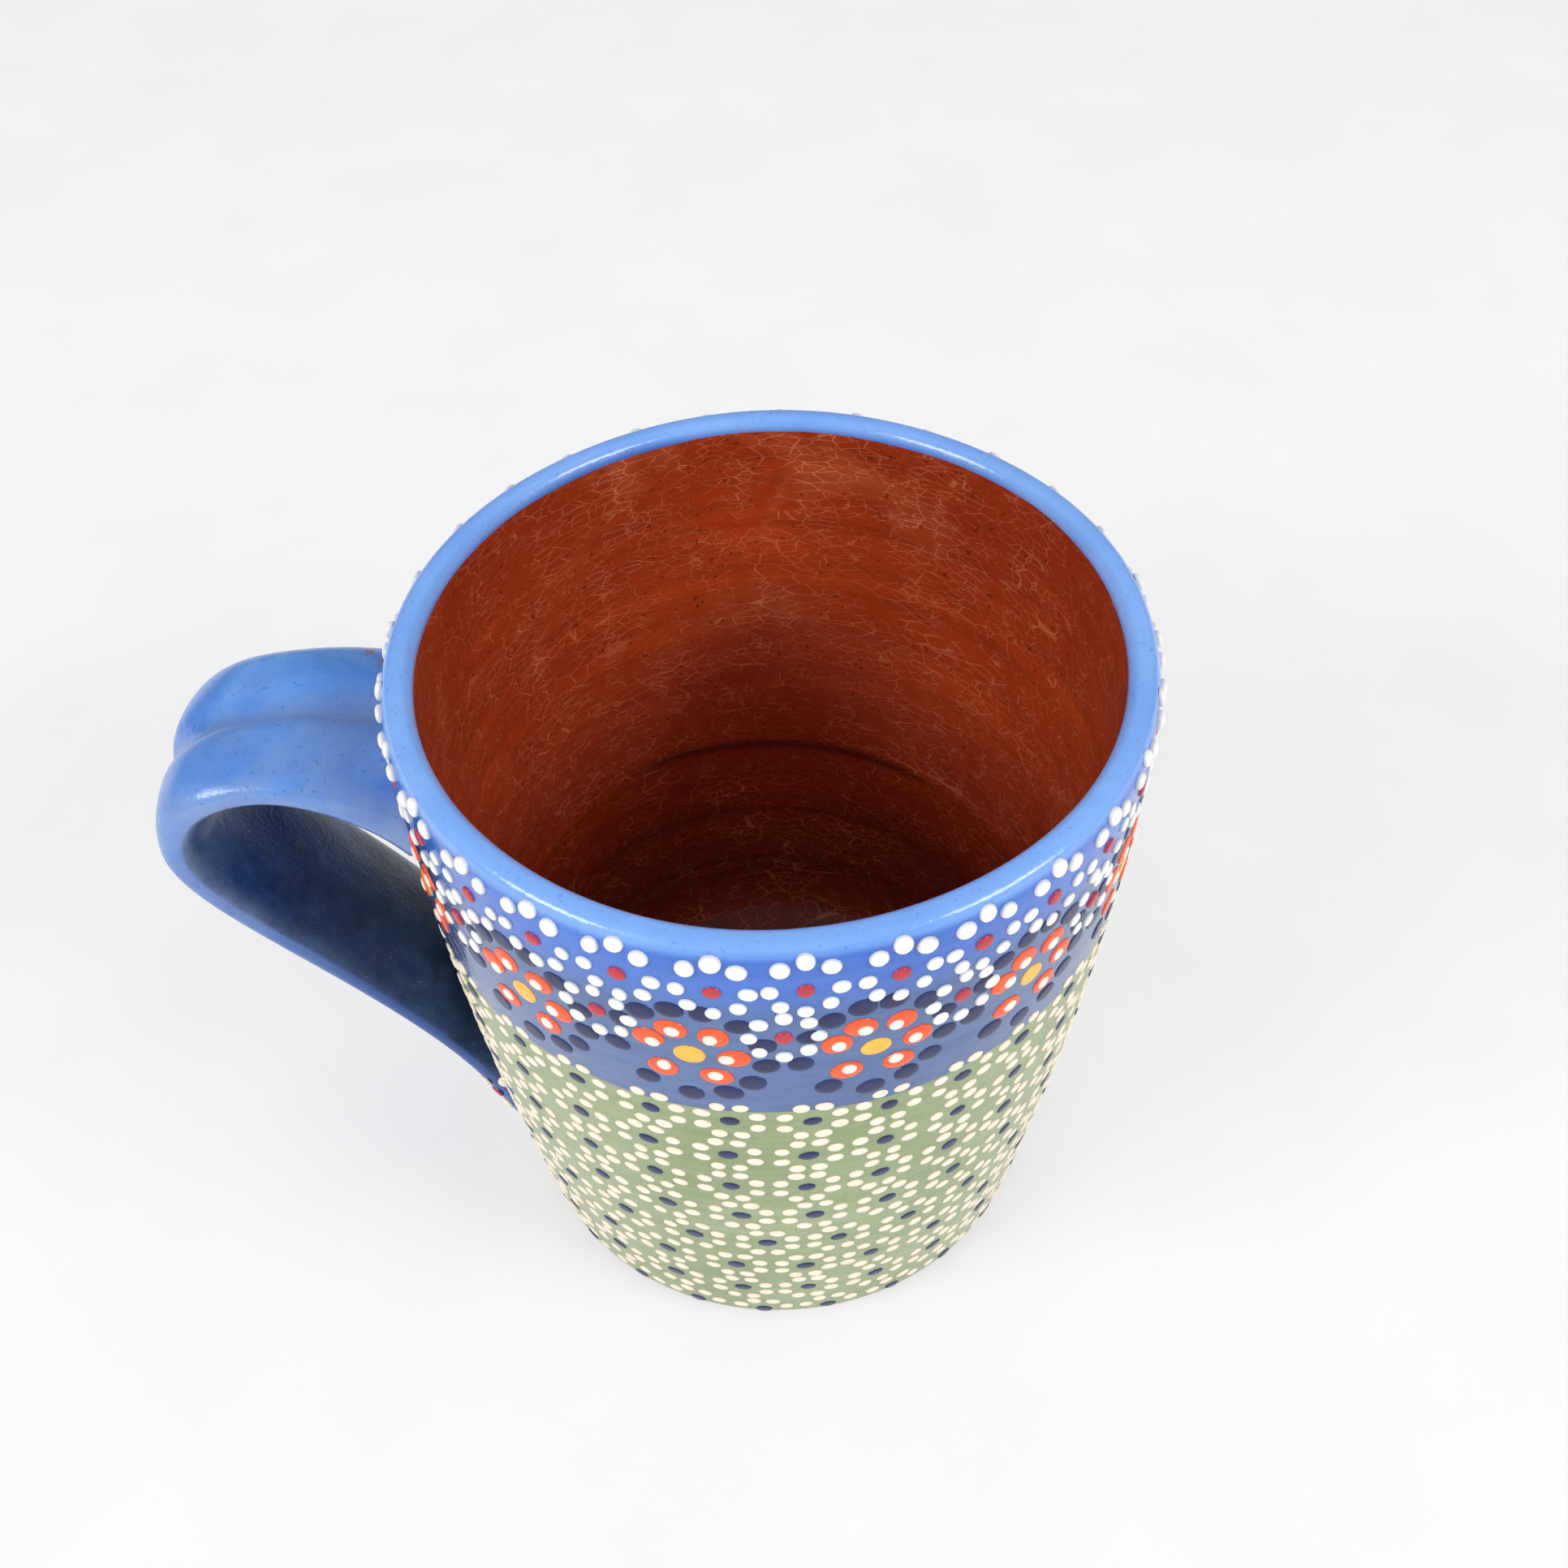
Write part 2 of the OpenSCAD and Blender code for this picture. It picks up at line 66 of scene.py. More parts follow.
STRAP_W = 23.6
STRAP_T = 6.6
ROOT_FLARE_W = 3.6
ROOT_FLARE_T = 3.0
TAIL_T = 5.0
GROOVE_DEPTH = 1.6
GROOVE_WIDTH_SHARE = 0.2
SECTION_POWER = 0.78
STRAP_TOP_Z = 77.5
STRAP_LOW_Z = 24.0
STRAP_REACH = 71.2
STRAP_BEND_Z = 71.5
STRAP_RISE = 7.0

RING_TOP_Z = 86.4
RING_LOW_Z = 78.2
RING_R = 3.65
RING_PITCH = 9.7
LARGE_DOT_D = 2.18
LARGE_DOT_LIFT = 1.1
SMALL_DOT_D = 1.9
RED_DOT_D = 2.1
FLOWER_Z = 74.0
FLOWER_PITCH = 19.8
PETAL_D = 3.5
PETAL_RING_R = 4.75
HEART_D = 3.5
HIGHLIGHT_D = 1.7
OUTLINE_DOT_D = 3.0
OUTLINE_RING_R = 8.2
LATTICE_TOP_Z = 60.2
ROW_PITCH = 8.35
COLUMN_PITCH = 9.0
LATTICE_RING_R = 3.35
CREAM_DOT_D = 1.8
NAVY_DOT_D = 2.1
# How proud each kind of dot stands: beads under the lip, flat dabs lower down
LARGE_RISE = 0.66
SMALL_RISE = 0.36
RED_RISE = 0.3
PETAL_RISE = 0.22
HIGHLIGHT_RISE = 0.26
FLAT_RISE = 0.15
CREAM_RISE = 0.2
DOT_WANDER = 0.16
ROW_TURN_SHARES = (0.1, 0.03, 0.02, 0.11, 0.42, 0.95, 0.0, 0.28)
RING_DOTS = 8
PETAL_TURNS = (0, 55, 112, 156, 229, 305)
OUTLINE_TURNS = (18, 49, 78, 102, 127, 151, 188, 232, 268, 298, 323, 350)
LOWER_RING_SHARE = 0.5

# The camera, fitted to the photograph's ovals of lip and foot: focal length in pixels,
# place in millimetres and turns in degrees, with the handle turned a little towards it
IMAGE_PX = 1932
FOCAL_PX = 2301.0
CAMERA_AT = (0.0, -157.9, 238.2)
CAMERA_YAW = 0.45
CAMERA_PITCH = -47.06
CAMERA_ROLL = -0.86
CAMERA_TURN = -1.3
SENSOR = 36.0


def srgb(r, g, b):
    """A colour given as it is seen on screen, 0 to 255, in the renderer's linear units."""
    def channel(c):
        c /= 255
        return c / 12.92 if c <= 0.04045 else ((c + 0.055) / 1.055) ** 2.4
    return (channel(r), channel(g), channel(b), 1.0)


def wall_r(z):
    """Radius of the wall's outside, without the shoulder."""
    return FOOT_R + (MOUTH_R - FOOT_R) * (1 - max(0.0, 1 - z / MUG_H) ** WALL_BELLY)


def wall_slope(z):
    steepness = WALL_BELLY * (MOUTH_R - FOOT_R) / MUG_H
    return math.atan(steepness * max(0.0, 1 - z / MUG_H) ** (WALL_BELLY - 1))


SHOULDER_W = wall_r(SHOULDER_Z) - CREST_R


def shoulder(a, inset):
    """A point (radius, height) of the shoulder, from its foot at angle 0 to the crest."""
    across = math.cos(a) ** (2 / SHOULDER_POWER)
    up = math.sin(a) ** (2 / SHOULDER_POWER)
    return CREST_R + (SHOULDER_W - inset) * across, SHOULDER_Z + (SHOULDER_H - inset) * up


def outer_r(z):
    """Radius of the outside, with the shoulder under the lip."""
    if z < SHOULDER_Z:
        return wall_r(z)
    up = min(1.0, (z - SHOULDER_Z) / SHOULDER_H)
    return CREST_R + SHOULDER_W * (1 - up ** SHOULDER_POWER) ** (1 / SHOULDER_POWER)


def outer_slope(z):
    """Lean of the outside from upright: outwards on the wall, and backwards on the shoulder."""
    step = 0.02
    if z < SHOULDER_Z:
        return wall_slope(z)
    return math.atan((outer_r(z + step) - outer_r(z - step)) / (2 * step))


def inner_r(z):
    return wall_r(z) - WALL_T - WALL_SWELL * (1 - z / MUG_H)


def ease(x):
    """Runs smoothly from 0 at 0 to 1 at 1."""
    c = min(1.0, max(0.0, x))
    return c * c * (3 - 2 * c)


# A thrown mouth is never quite round: its oval, as a share of the radius, and the angle it points at
OVAL_SHARE = 0.0115
OVAL_AT = math.radians(66)
# The wall's smaller swells, as shares of the radius, and the lip's rise and fall
SWELL_SHARE = 0.0022
FINE_SWELL_SHARE = 0.0014
LIP_WAVE = 0.22
FINE_LIP_WAVE = 0.12


def settled(p):
    """Moves a point of the round mug to where it lies on the hand-made one."""
    x, y, z = p
    a = math.atan2(y, x)
    lift = z / MUG_H
    share = OVAL_SHARE * math.cos(2 * (a - OVAL_AT)) * lift
    share += SWELL_SHARE * math.sin(3 * a + 0.6 + 2.1 * lift)
    share += FINE_SWELL_SHARE * math.sin(5 * a + 5 * lift)
    rise = LIP_WAVE * math.sin(2 * a + 1.1) * lift ** 3
    rise += FINE_LIP_WAVE * math.sin(5 * a + 0.4) * lift ** 6
    return Vector((x * (1 + share), y * (1 + share), z + rise))


# Edges that turn more than this stay sharp
SHARP_A = math.radians(50)


def new_piece(name, points, faces, material, *nodes, attributes=None):
    """Makes a smooth piece from points in millimetres, which stands for the CAD nodes named."""
    mesh = bpy.data.meshes.new(name)
    mesh.from_pydata([Vector(p) * MM for p in points], [], faces)
    mesh.polygons.foreach_set("use_smooth", [True] * len(mesh.polygons))
    mesh.update()
    mesh.set_sharp_from_angle(angle=SHARP_A)
    for key, values in (attributes or {}).items():
        layer = mesh.attributes.new(key, "FLOAT", "POINT")
        layer.data.foreach_set("value", values)
    mesh.materials.append(material)
    piece = bpy.data.objects.new(name, mesh)
    bpy.context.scene.collection.objects.link(piece)
    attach(piece, "root")
    if nodes:
        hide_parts(*nodes)
    return piece


# Points round the pot in each row
TURN_STEPS = 288


def turned(rows):
    """Points and faces of a closed ring of rows. A row is a function of the angle that gives (radius,
    height), or the same pair all round, and a row of no radius is one point on the axis."""
    points = []
    starts = []
    widths = []
    for row in rows:
        starts.append(len(points))
        widths.append(1 if not callable(row) and row[0] == 0 else TURN_STEPS)
        for j in range(widths[-1]):
            a = 2 * math.pi * j / TURN_STEPS
            r, z = row(a) if callable(row) else row
            points.append(settled((r * math.cos(a), r * math.sin(a), z)))
    faces = []
    for i in range(len(rows)):
        k = (i + 1) % len(rows)
        for j in range(TURN_STEPS if widths[i] + widths[k] > 2 else 0):
            n = (j + 1) % TURN_STEPS
            corners = [starts[i] + j % widths[i], starts[i] + n % widths[i]]
            corners += [starts[k] + n % widths[k], starts[k] + j % widths[k]]
            faces.append(tuple(dict.fromkeys(corners)))
    return points, faces


def spread(a, b, steps):
    return [a + (b - a) * i / steps for i in range(steps + 1)]


# Waves of lines drawn by hand on the wheel: (size, waves in a turn, start)
BAND_WAVES = ((0.35, 1, 0.4), (0.22, 3, 1.2), (0.1, 11, 0.0))
SLIP_EDGE_WAVES = ((0.05, 2, 2.2), (0.035, 7, 0.0), (0.02, 17, 1.0))


def waved(waves, a):
    return sum(size * math.sin(count * a + start) for size, count, start in waves)


def band_line(a):
    """Height of the painted line between blue and green."""
    return BAND_Z + waved(BAND_WAVES, a)


def lip(inset, a):
    """A point of the lip inside its crest, from the crest at a quarter turn to the wall at half a turn."""
    return CREST_R + (INNER_LIP_W - inset) * math.cos(a), LIP_Z + (LIP_R - inset) * math.sin(a)


def slip_edge(a):
    """Angle on the lip at which the slip stops inside, a little uneven."""
    return SLIP_EDGE_A + waved(SLIP_EDGE_WAVES, a)


def between(first, last, share, a):
    """A share of the way from one line to the other at an angle. A line is a number or a function of it."""
    start = first(a) if callable(first) else first
    end = last(a) if callable(last) else last
    return start + (end - start) * share


def outer_row(share, low, high, inset):
    """A row of the outer wall, a share of the way from one height or line to another."""
    def row(a):
        z = between(low, high, share, a)
        return wall_r(z) - inset, z
    return row


def lip_row(share, inset, start, end):
    """A row of the lip inside its crest, a share of the way from one angle or line to another."""
    def row(a):
        return lip(inset, between(start, end, share, a))
    return row


# Throwing lines inside the cup, which fade out under the lip
RIPPLE = 0.045
RIPPLE_PITCH = 6.3
RIPPLE_DROP = 6
RIPPLE_FADE = 8
# The one deep ledge that the fingers left: its height, tilt, width, and depth in ripples
LEDGE_Z = 37.0
LEDGE_TILT = 1.2
LEDGE_WIDTH = 1.3
LEDGE_RIPPLES = 6


def ripple(a, z):
    """How far the throwing lines stand into the wall at an angle and height of the inside."""
    fade = ease((MUG_H - RIPPLE_DROP - z) / RIPPLE_FADE)
    phase = 2 * math.pi * z / RIPPLE_PITCH + a
    soft = math.sin(phase) + 0.5 * math.sin(1.7 * phase + 2 * math.sin(a))
    ledge = math.exp(-((z - LEDGE_Z - LEDGE_TILT * math.sin(a)) / LEDGE_WIDTH) ** 2) * LEDGE_RIPPLES
    return RIPPLE * fade * (soft - ledge)


# Throwing lines on the far side, where slurry settled: (height, half of the arc in degrees, tone)
LINES = ((LEDGE_Z, 42, 1.0), (24.5, 60, 0.45), (15.0, 75, 0.5))
LINE_WIDTH = 0.75
# The arcs' middle in degrees, the stretch over which their ends fade, and their rise in each degree
LINE_MIDDLE = 86
LINE_FADE = 16
LINE_RISE = 0.02


def throwing_line(p):
    """How dark the settled line is at a point of the inside, from 0 to 1."""
    a = math.degrees(math.atan2(p.y, p.x))
    tone = 0.0
    for z, half, depth in LINES:
        fade = ease((half - abs(a - LINE_MIDDLE)) / LINE_FADE)
        height = z + LEDGE_TILT * math.sin(math.radians(a)) + LINE_RISE * (a - LINE_MIDDLE)
        tone = max(tone, depth * fade * math.exp(-((p.z - height) / LINE_WIDTH) ** 2))
    return tone


# The glazed face of the inside has no inset and shows the throwing lines. The face behind it is plain
def inner_row(z, inset):
    def row(a):
        return inner_r(z) + inset + (ripple(a, z) if inset == 0 else 0), z
    return row


CORNER_Z = FLOOR_T + FLOOR_CORNER_R
FLOOR_EDGE_R = inner_r(CORNER_Z) - FLOOR_CORNER_R


def corner_row(share, inset):
    turn = -math.pi / 2 * share
    r = FLOOR_EDGE_R + (FLOOR_CORNER_R + inset) * math.cos(turn)
    z = CORNER_Z + (FLOOR_CORNER_R + inset) * math.sin(turn)

    def row(a):
        return r, z + (floor_wave(r, a) if inset == 0 else 0)
    return row


# The spiral on the floor: its height and pitch, its gap to the wall and the stretch over which it fades
FLOOR_WAVE = 0.16
FLOOR_WAVE_PITCH = 5.2
FLOOR_WAVE_GAP = 2
FLOOR_WAVE_FADE = 4


def floor_wave(r, a):
    """The spiral that the potter's fingers leave on the floor."""
    fade = ease((inner_r(CORNER_Z) - FLOOR_WAVE_GAP - r) / FLOOR_WAVE_FADE)
    return FLOOR_WAVE * fade * math.sin(2 * math.pi * r / FLOOR_WAVE_PITCH - a)


def floor_row(r, inset):
    def row(a):
        return r, FLOOR_T - inset + (floor_wave(r, a) if inset == 0 else 0)
    return row


# The strap handle
def bezier(p, t):
    u = 1 - t
    return p[0] * u ** 3 + p[1] * 3 * u * u * t + p[2] * 3 * u * t * t + p[3] * t ** 3


def bezier_slope(p, t):
    u = 1 - t
    return (p[1] - p[0]) * 3 * u * u + (p[2] - p[1]) * 6 * u * t + (p[3] - p[2]) * 3 * t * t


STRAP_OUT = STRAP_REACH - wall_r(STRAP_TOP_Z)
STRAP_BACK = STRAP_REACH - wall_r(STRAP_LOW_Z)
STRAP_FALL = STRAP_BEND_Z - STRAP_LOW_Z
CLIMB_OUT_SHARE = 0.235
CLIMB_UP_SHARE = 0.81
FALL_HOLD_SHARE = 0.19
FALL_BACK_SHARE = 0.36
FALL_DOWN_SHARE = 0.495
UPPER_CURVE = [Vector(p) for p in (
    (wall_r(STRAP_TOP_Z), STRAP_TOP_Z),
    (wall_r(STRAP_TOP_Z) + CLIMB_OUT_SHARE * STRAP_OUT, STRAP_TOP_Z + CLIMB_UP_SHARE * STRAP_RISE),
    (STRAP_REACH, STRAP_TOP_Z + STRAP_RISE),
    (STRAP_REACH, STRAP_BEND_Z),
)]
LOWER_CURVE = [Vector(p) for p in (
    (STRAP_REACH, STRAP_BEND_Z),
    (STRAP_REACH, STRAP_BEND_Z - FALL_HOLD_SHARE * STRAP_FALL),
    (wall_r(STRAP_LOW_Z) + FALL_BACK_SHARE * STRAP_BACK, STRAP_BEND_Z - FALL_DOWN_SHARE * STRAP_FALL),
    (wall_r(STRAP_LOW_Z), STRAP_LOW_Z),
)]
# Place s on the strap runs from 0 at the top joint through 1 at the bend to 2 at the lower joint.
# The strap starts and ends inside the wall
STRAP_START = -0.16
STRAP_END = 2.2
# Shares of a curve over which the top joint's flare and the groove run out
FLARE_W_SHARE = 0.55
FLARE_T_SHARE = 0.5
GROOVE_END_SHARE = 0.3
GROOVE_FADE_SHARE = 0.6
# Unevenness of a pulled strap: its width, thickness, drift to one side, dents, what the inner face has
# of the dents, and how far the groove wanders
WIDTH_WAVE = 0.35
THICKNESS_WAVE = 0.18
DRIFT = 0.25
DENT = 0.16
INNER_DENT_SHARE = 0.6
GROOVE_WANDER_SHARE = 0.04


def held(s):
    return min(2.0, max(0.0, s))


def strap_curve(s):
    """The curve that a place on the strap lies on, and how far along it."""
    return (UPPER_CURVE, held(s)) if s < 1 else (LOWER_CURVE, held(s) - 1)


def strap_slope(s):
    return bezier_slope(*strap_curve(s))


def strap_middle(s):
    """The strap's middle line, which runs straight on past its ends."""
    return bezier(*strap_curve(s)) + strap_slope(s) * (s - held(s))


def strap_width(s):
    return STRAP_W + ROOT_FLARE_W * (1 - ease(s / FLARE_W_SHARE)) + WIDTH_WAVE * math.sin(4.1 * s + 0.5)


def strap_thickness(s):
    flare = ROOT_FLARE_T * (1 - ease(s / FLARE_T_SHARE))
    return STRAP_T + flare - (STRAP_T - TAIL_T) * ease(s - 1) + THICKNESS_WAVE * math.sin(5.3 * s)


def strap_groove(s):
    return GROOVE_DEPTH * (1 - ease((s - 1 - GROOVE_END_SHARE) / GROOVE_FADE_SHARE))


def powered(x):
    """Rounds the strap's section between an oval and a box."""
    return math.copysign(abs(x) ** SECTION_POWER, x)


# The soft curve where the strap's roots are smoothed into the wall
FILLET = 1.5
FILLET_REACH = 1.7
ROOT_SINK = 2.0


def strap_point(s, a, inset=0.0):
    """A point of the strap's skin, a turn a round its section. Near the wall the skin swells into it."""
    across = powered(math.cos(a))
    up = powered(math.sin(a))
    m = strap_middle(s)
    d = strap_slope(s).normalized()
    grow = 0.0
    for _ in range(2):
        reach = strap_thickness(s) / 2 + grow
        rho = m[0] - up * reach * d[1]
        z = m[1] + up * reach * d[0]
        side = (strap_width(s) / 2 + grow) * across
        clear = math.hypot(rho, side) - wall_r(z)
        grow = FILLET * math.exp(-max(0.0, clear) / FILLET_REACH)
    x = (strap_width(s) / 2 - inset + grow) * across
    y = (strap_thickness(s) / 2 - inset + grow) * up
    drift = DRIFT * math.sin(2.7 * s + 1.0)
    groove = math.exp(-((across - GROOVE_WANDER_SHARE * math.sin(3 * s)) / GROOVE_WIDTH_SHARE) ** 2)
    y -= strap_groove(s) * max(0.0, up) * groove
    dent = DENT * math.sin(9 * s + 3 * across) * math.sin(2.2 * a)
    y += dent * (1 if up > 0 else INNER_DENT_SHARE)
    point = Vector((-(m[0] - y * d[1]), x + drift, m[1] + y * d[0]))
    floor = wall_r(point.z) - ROOT_SINK
    rho = math.hypot(point.x, point.y)
    if rho < floor:
        point.x *= floor / rho
        point.y *= floor / rho
    return point


def strap_mesh(inset, rings, sides):
    """Points and faces of the strap, and how its slip lies at each point, with where the inner face's
    painted shade falls.
    """
    points = []
    faces = []
    slip = {"thin": [], "inner": [], "bare": []}
    for i in range(rings + 1):
        s = STRAP_START + (STRAP_END - STRAP_START) * i / rings
        for j in range(sides):
            a = 2 * math.pi * j / sides
            points.append(settled(strap_point(s, a, inset)))
            slip["thin"].append(thin_slip(s, a))
            slip["inner"].append(inner_slip_and_shade(s, a))
            slip["bare"].append(bare_slip(s, a))
    for i in range(rings):
        for j in range(sides):
            k = (j + 1) % sides
            faces.append((i * sides + j, (i + 1) * sides + j, (i + 1) * sides + k, i * sides + k))
    faces.append(tuple(range(sides)))
    faces.append(tuple(rings * sides + j for j in reversed(range(sides))))
    return points, faces, slip


# Shares of the section at which the slip thins on the strap's edges, and the thin line in its groove
THIN_EDGE_SHARE = 0.72
THIN_EDGE_FADE = 0.26
THIN_LINE_SHARE = 0.13
THIN_LINE_FADE = 0.5
# Shares of the section at which the dark slip and painted shade of the inner face start, and where they
# start on the strap
INNER_EDGE_SHARE = 0.17
INNER_EDGE_FADE = 0.11
INNER_START = 0.35
INNER_START_FADE = 0.35
# Places where the slip wore through to the clay: (place along, angle of the section, reach)
BARE_SPOTS = ((0.16, 1.0, 0.05), (0.21, 0.7, 0.03), (1.0, 0.35, 0.03))
BARE_REACH_A = 0.22


def thin_slip(s, a):
    """1 where the slip lies thin, on the strap's edges and along its groove, and 0 on its lobes."""
    across, up = math.cos(a), math.sin(a)
    edge = ease((abs(across) - THIN_EDGE_SHARE) / THIN_EDGE_FADE)
    line = math.exp(-(across / THIN_LINE_SHARE) ** 2) * max(0.0, up)
    line *= 1 - ease((s - 1 - GROOVE_END_SHARE) / THIN_LINE_FADE)
    return min(1.0, edge + line)


def inner_slip_and_shade(s, a):
    """1 on the strap's inner face, where the slip lies thick and dark under painted shade, and 0 on its
    outer face.
    """
    start = ease((s - INNER_START) / INNER_START_FADE)
    return ease((-math.sin(a) - INNER_EDGE_SHARE) / INNER_EDGE_FADE) * start


def bare_slip(s, a):
    """1 in the middle of a worn spot, and 0 away from it."""
    return max(
        math.exp(-((s - at) / reach) ** 2 - ((a - at_a) / BARE_REACH_A) ** 2)
        for at, at_a, reach in BARE_SPOTS
    )


# Turns in degrees from one spot's wandering to the next spot's, across and up
WANDER_TURNS = (137.5, 222.5)
WANDER_START = 40


def wander(k):
    """How far the spot of number k lies from its even place, across and up."""
    return (
        DOT_WANDER * math.sin(math.radians(k * WANDER_TURNS[0])),
        DOT_WANDER * math.sin(math.radians(k * WANDER_TURNS[1] + WANDER_START)),
    )


def place(spot, offset):
    """A spot (angle in degrees, height) of the wall, moved by millimetres across and up."""
    z = spot[1] + offset[1]
    return (spot[0] + math.degrees(offset[0] / outer_r(z)), z)


def polar(r, degrees):
    return (r * math.cos(math.radians(degrees)), r * math.sin(math.radians(degrees)))


# How far each root of the strap reaches up and down the wall, as a share of its thickness there
UPPER_ROOT_SHARE = 0.72
LOWER_ROOT_SHARE = 2.4
UPPER_ROOT_HALF = UPPER_ROOT_SHARE * (STRAP_T + ROOT_FLARE_T)
LOWER_ROOT_HALF = LOWER_ROOT_SHARE * TAIL_T


def off_strap(spot, d):
    """True where a dot on the wall lies clear of the strap's roots and of the foot."""
    a = spot[0] % 360
    side = math.radians(abs(a - 180)) * wall_r(spot[1])
    beside = side > (STRAP_W + ROOT_FLARE_W + d) / 2 + SLIP_T
    between = STRAP_LOW_Z + LOWER_ROOT_HALF + d / 2 < spot[1] < STRAP_TOP_Z - UPPER_ROOT_HALF - d / 2
    over_it = spot[1] > STRAP_TOP_Z + UPPER_ROOT_HALF + d / 2
    under_it = spot[1] < STRAP_LOW_Z - LOWER_ROOT_HALF - d / 2
    return (beside or between or over_it or under_it) and spot[1] > SLIP_FOOT_GAP + d / 4


def wall_frame(spot):
    """Place on the wall, and its directions across, up the wall and out of it."""
    a, z = math.radians(spot[0]), spot[1]
    slope = outer_slope(z)
    out = Vector((math.cos(a) * math.cos(slope), math.sin(a) * math.cos(slope), -math.sin(slope)))
    across = Vector((-math.sin(a), math.cos(a), 0))
    r = outer_r(z)
    at = settled((r * math.cos(a), r * math.sin(a), z))
    return at, across, out.cross(across), out


# A dab of slip has a rounded edge and a nearly flat top: (share of its radius, share of its height)
DAB = ((1.0, 0.0), (0.96, 0.4), (0.85, 0.72), (0.62, 0.93), (0.3, 1.0))
# A fuller drop is a dome
BEAD = ((1.0, 0.0), (0.99, 0.25), (0.93, 0.5), (0.78, 0.74), (0.5, 0.92), (0.22, 0.99))
DOT_SINK = 0.12
DOT_SIDES = 18
# Unevenness of hand-set dots: shares of their width, height and size, and their tilt
DOT_STRETCH_SHARE = 0.05
DOT_TALL_SHARE = 0.12
DOT_SIZE_SHARE = 0.06
DOT_TILT = 0.2
# How fast the ground shows through towards a dot's foot
EDGE_POWER = 1.5


class Dots:
    """Collects domes of slip and makes them one piece."""

    def __init__(self):
        self.points = []
        self.faces = []
        self.edges = []

    def add(self, frame_at, d, rise, seed, profile=DAB, wider=1.0):
        """Adds a dome. The attribute edge runs from 1 at its foot to 0 on its top."""
        at, across, up, out = frame_at
        first = len(self.points)
        stretch = wider * (1 + DOT_STRETCH_SHARE * math.sin(seed * 2.3))
        tilt = DOT_TILT * math.sin(seed * 1.9)
        tall = rise * (1 + DOT_TALL_SHARE * math.sin(seed * 3.7))
        for i, (wide, high) in enumerate(profile):
            r = d / 2 * wide
            h = tall * high - (DOT_SINK if i == 0 else 0)
            for j in range(DOT_SIDES):
                t = 2 * math.pi * j / DOT_SIDES
                u = r * math.cos(t) * stretch
                v = r * math.sin(t) / stretch
                u, v = u * math.cos(tilt) - v * math.sin(tilt), u * math.sin(tilt) + v * math.cos(tilt)
                self.points.append(at + across * u + up * v + out * h)
                self.edges.append((1 - high) ** EDGE_POWER)
        self.points.append(at + out * tall)
        self.edges.append(0.0)
        top = len(self.points) - 1
        for i in range(len(profile) - 1):
            for j in range(DOT_SIDES):
                k = (j + 1) % DOT_SIDES
                a, b = first + i * DOT_SIDES + j, first + i * DOT_SIDES + k
                self.faces.append((a, b, b + DOT_SIDES, a + DOT_SIDES))
        last = first + (len(profile) - 1) * DOT_SIDES
        for j in range(DOT_SIDES):
            self.faces.append((last + j, last + (j + 1) % DOT_SIDES, top))
        self.faces.append(tuple(first + j for j in reversed(range(DOT_SIDES))))

    def piece(self, name, material, *nodes):
        return new_piece(name, self.points, self.faces, material, *nodes, attributes={"edge": self.edges})


def wall_dots(name, spots, d, rise, material, *nodes, layer=0.0, profile=DAB, wider=1.0):
    """One piece of dots at spots of the wall. Those that lie over others start a layer higher."""
    dots = Dots()
    for k, spot in enumerate(spots):
        if off_strap(spot, d):
            at, across, up, out = wall_frame(spot)
            size = d * (1 + DOT_SIZE_SHARE * math.sin(k * 5.1))
            dots.add((at + out * layer, across, up, out), size, rise, k, profile, wider)
    return dots.piece(name, material, *nodes)


def ring_spots(middles, r, first=0, count=RING_DOTS, turn=0.0):
    """Spots of rings round the middles, from one number of each ring on, anticlockwise."""
    return [
        place(middle, polar(r, 360 * (j + turn) / RING_DOTS))
        for middle in middles
        for j in range(first, first + count)
    ]


class Nodes:
    """The node tree of a material or a world, with short calls for the nodes that both need."""

    def __init__(self, owner):
        owner.use_nodes = True
        self.tree = owner.node_tree
        self.tree.nodes.clear()

    def feed(self, node, inputs):
        """Sets a node's inputs, each to a value or to another node's output."""
        for key, value in inputs.items():
            if isinstance(value, bpy.types.NodeSocket):
                self.tree.links.new(value, node.inputs[key])
            else:
                node.inputs[key].default_value = value

    def node(self, kind, inputs=None, **settings):
        """Adds a shader node of a kind."""
        n = self.tree.nodes.new("ShaderNode" + kind)
        for key, value in settings.items():
            setattr(n, key, value)
        self.feed(n, inputs or {})
        return n

    def blend(self, share, a, b):
        """From one shader to another by a share."""
        return self.node("MixShader", {0: share, 1: a, 2: b}).outputs["Shader"]


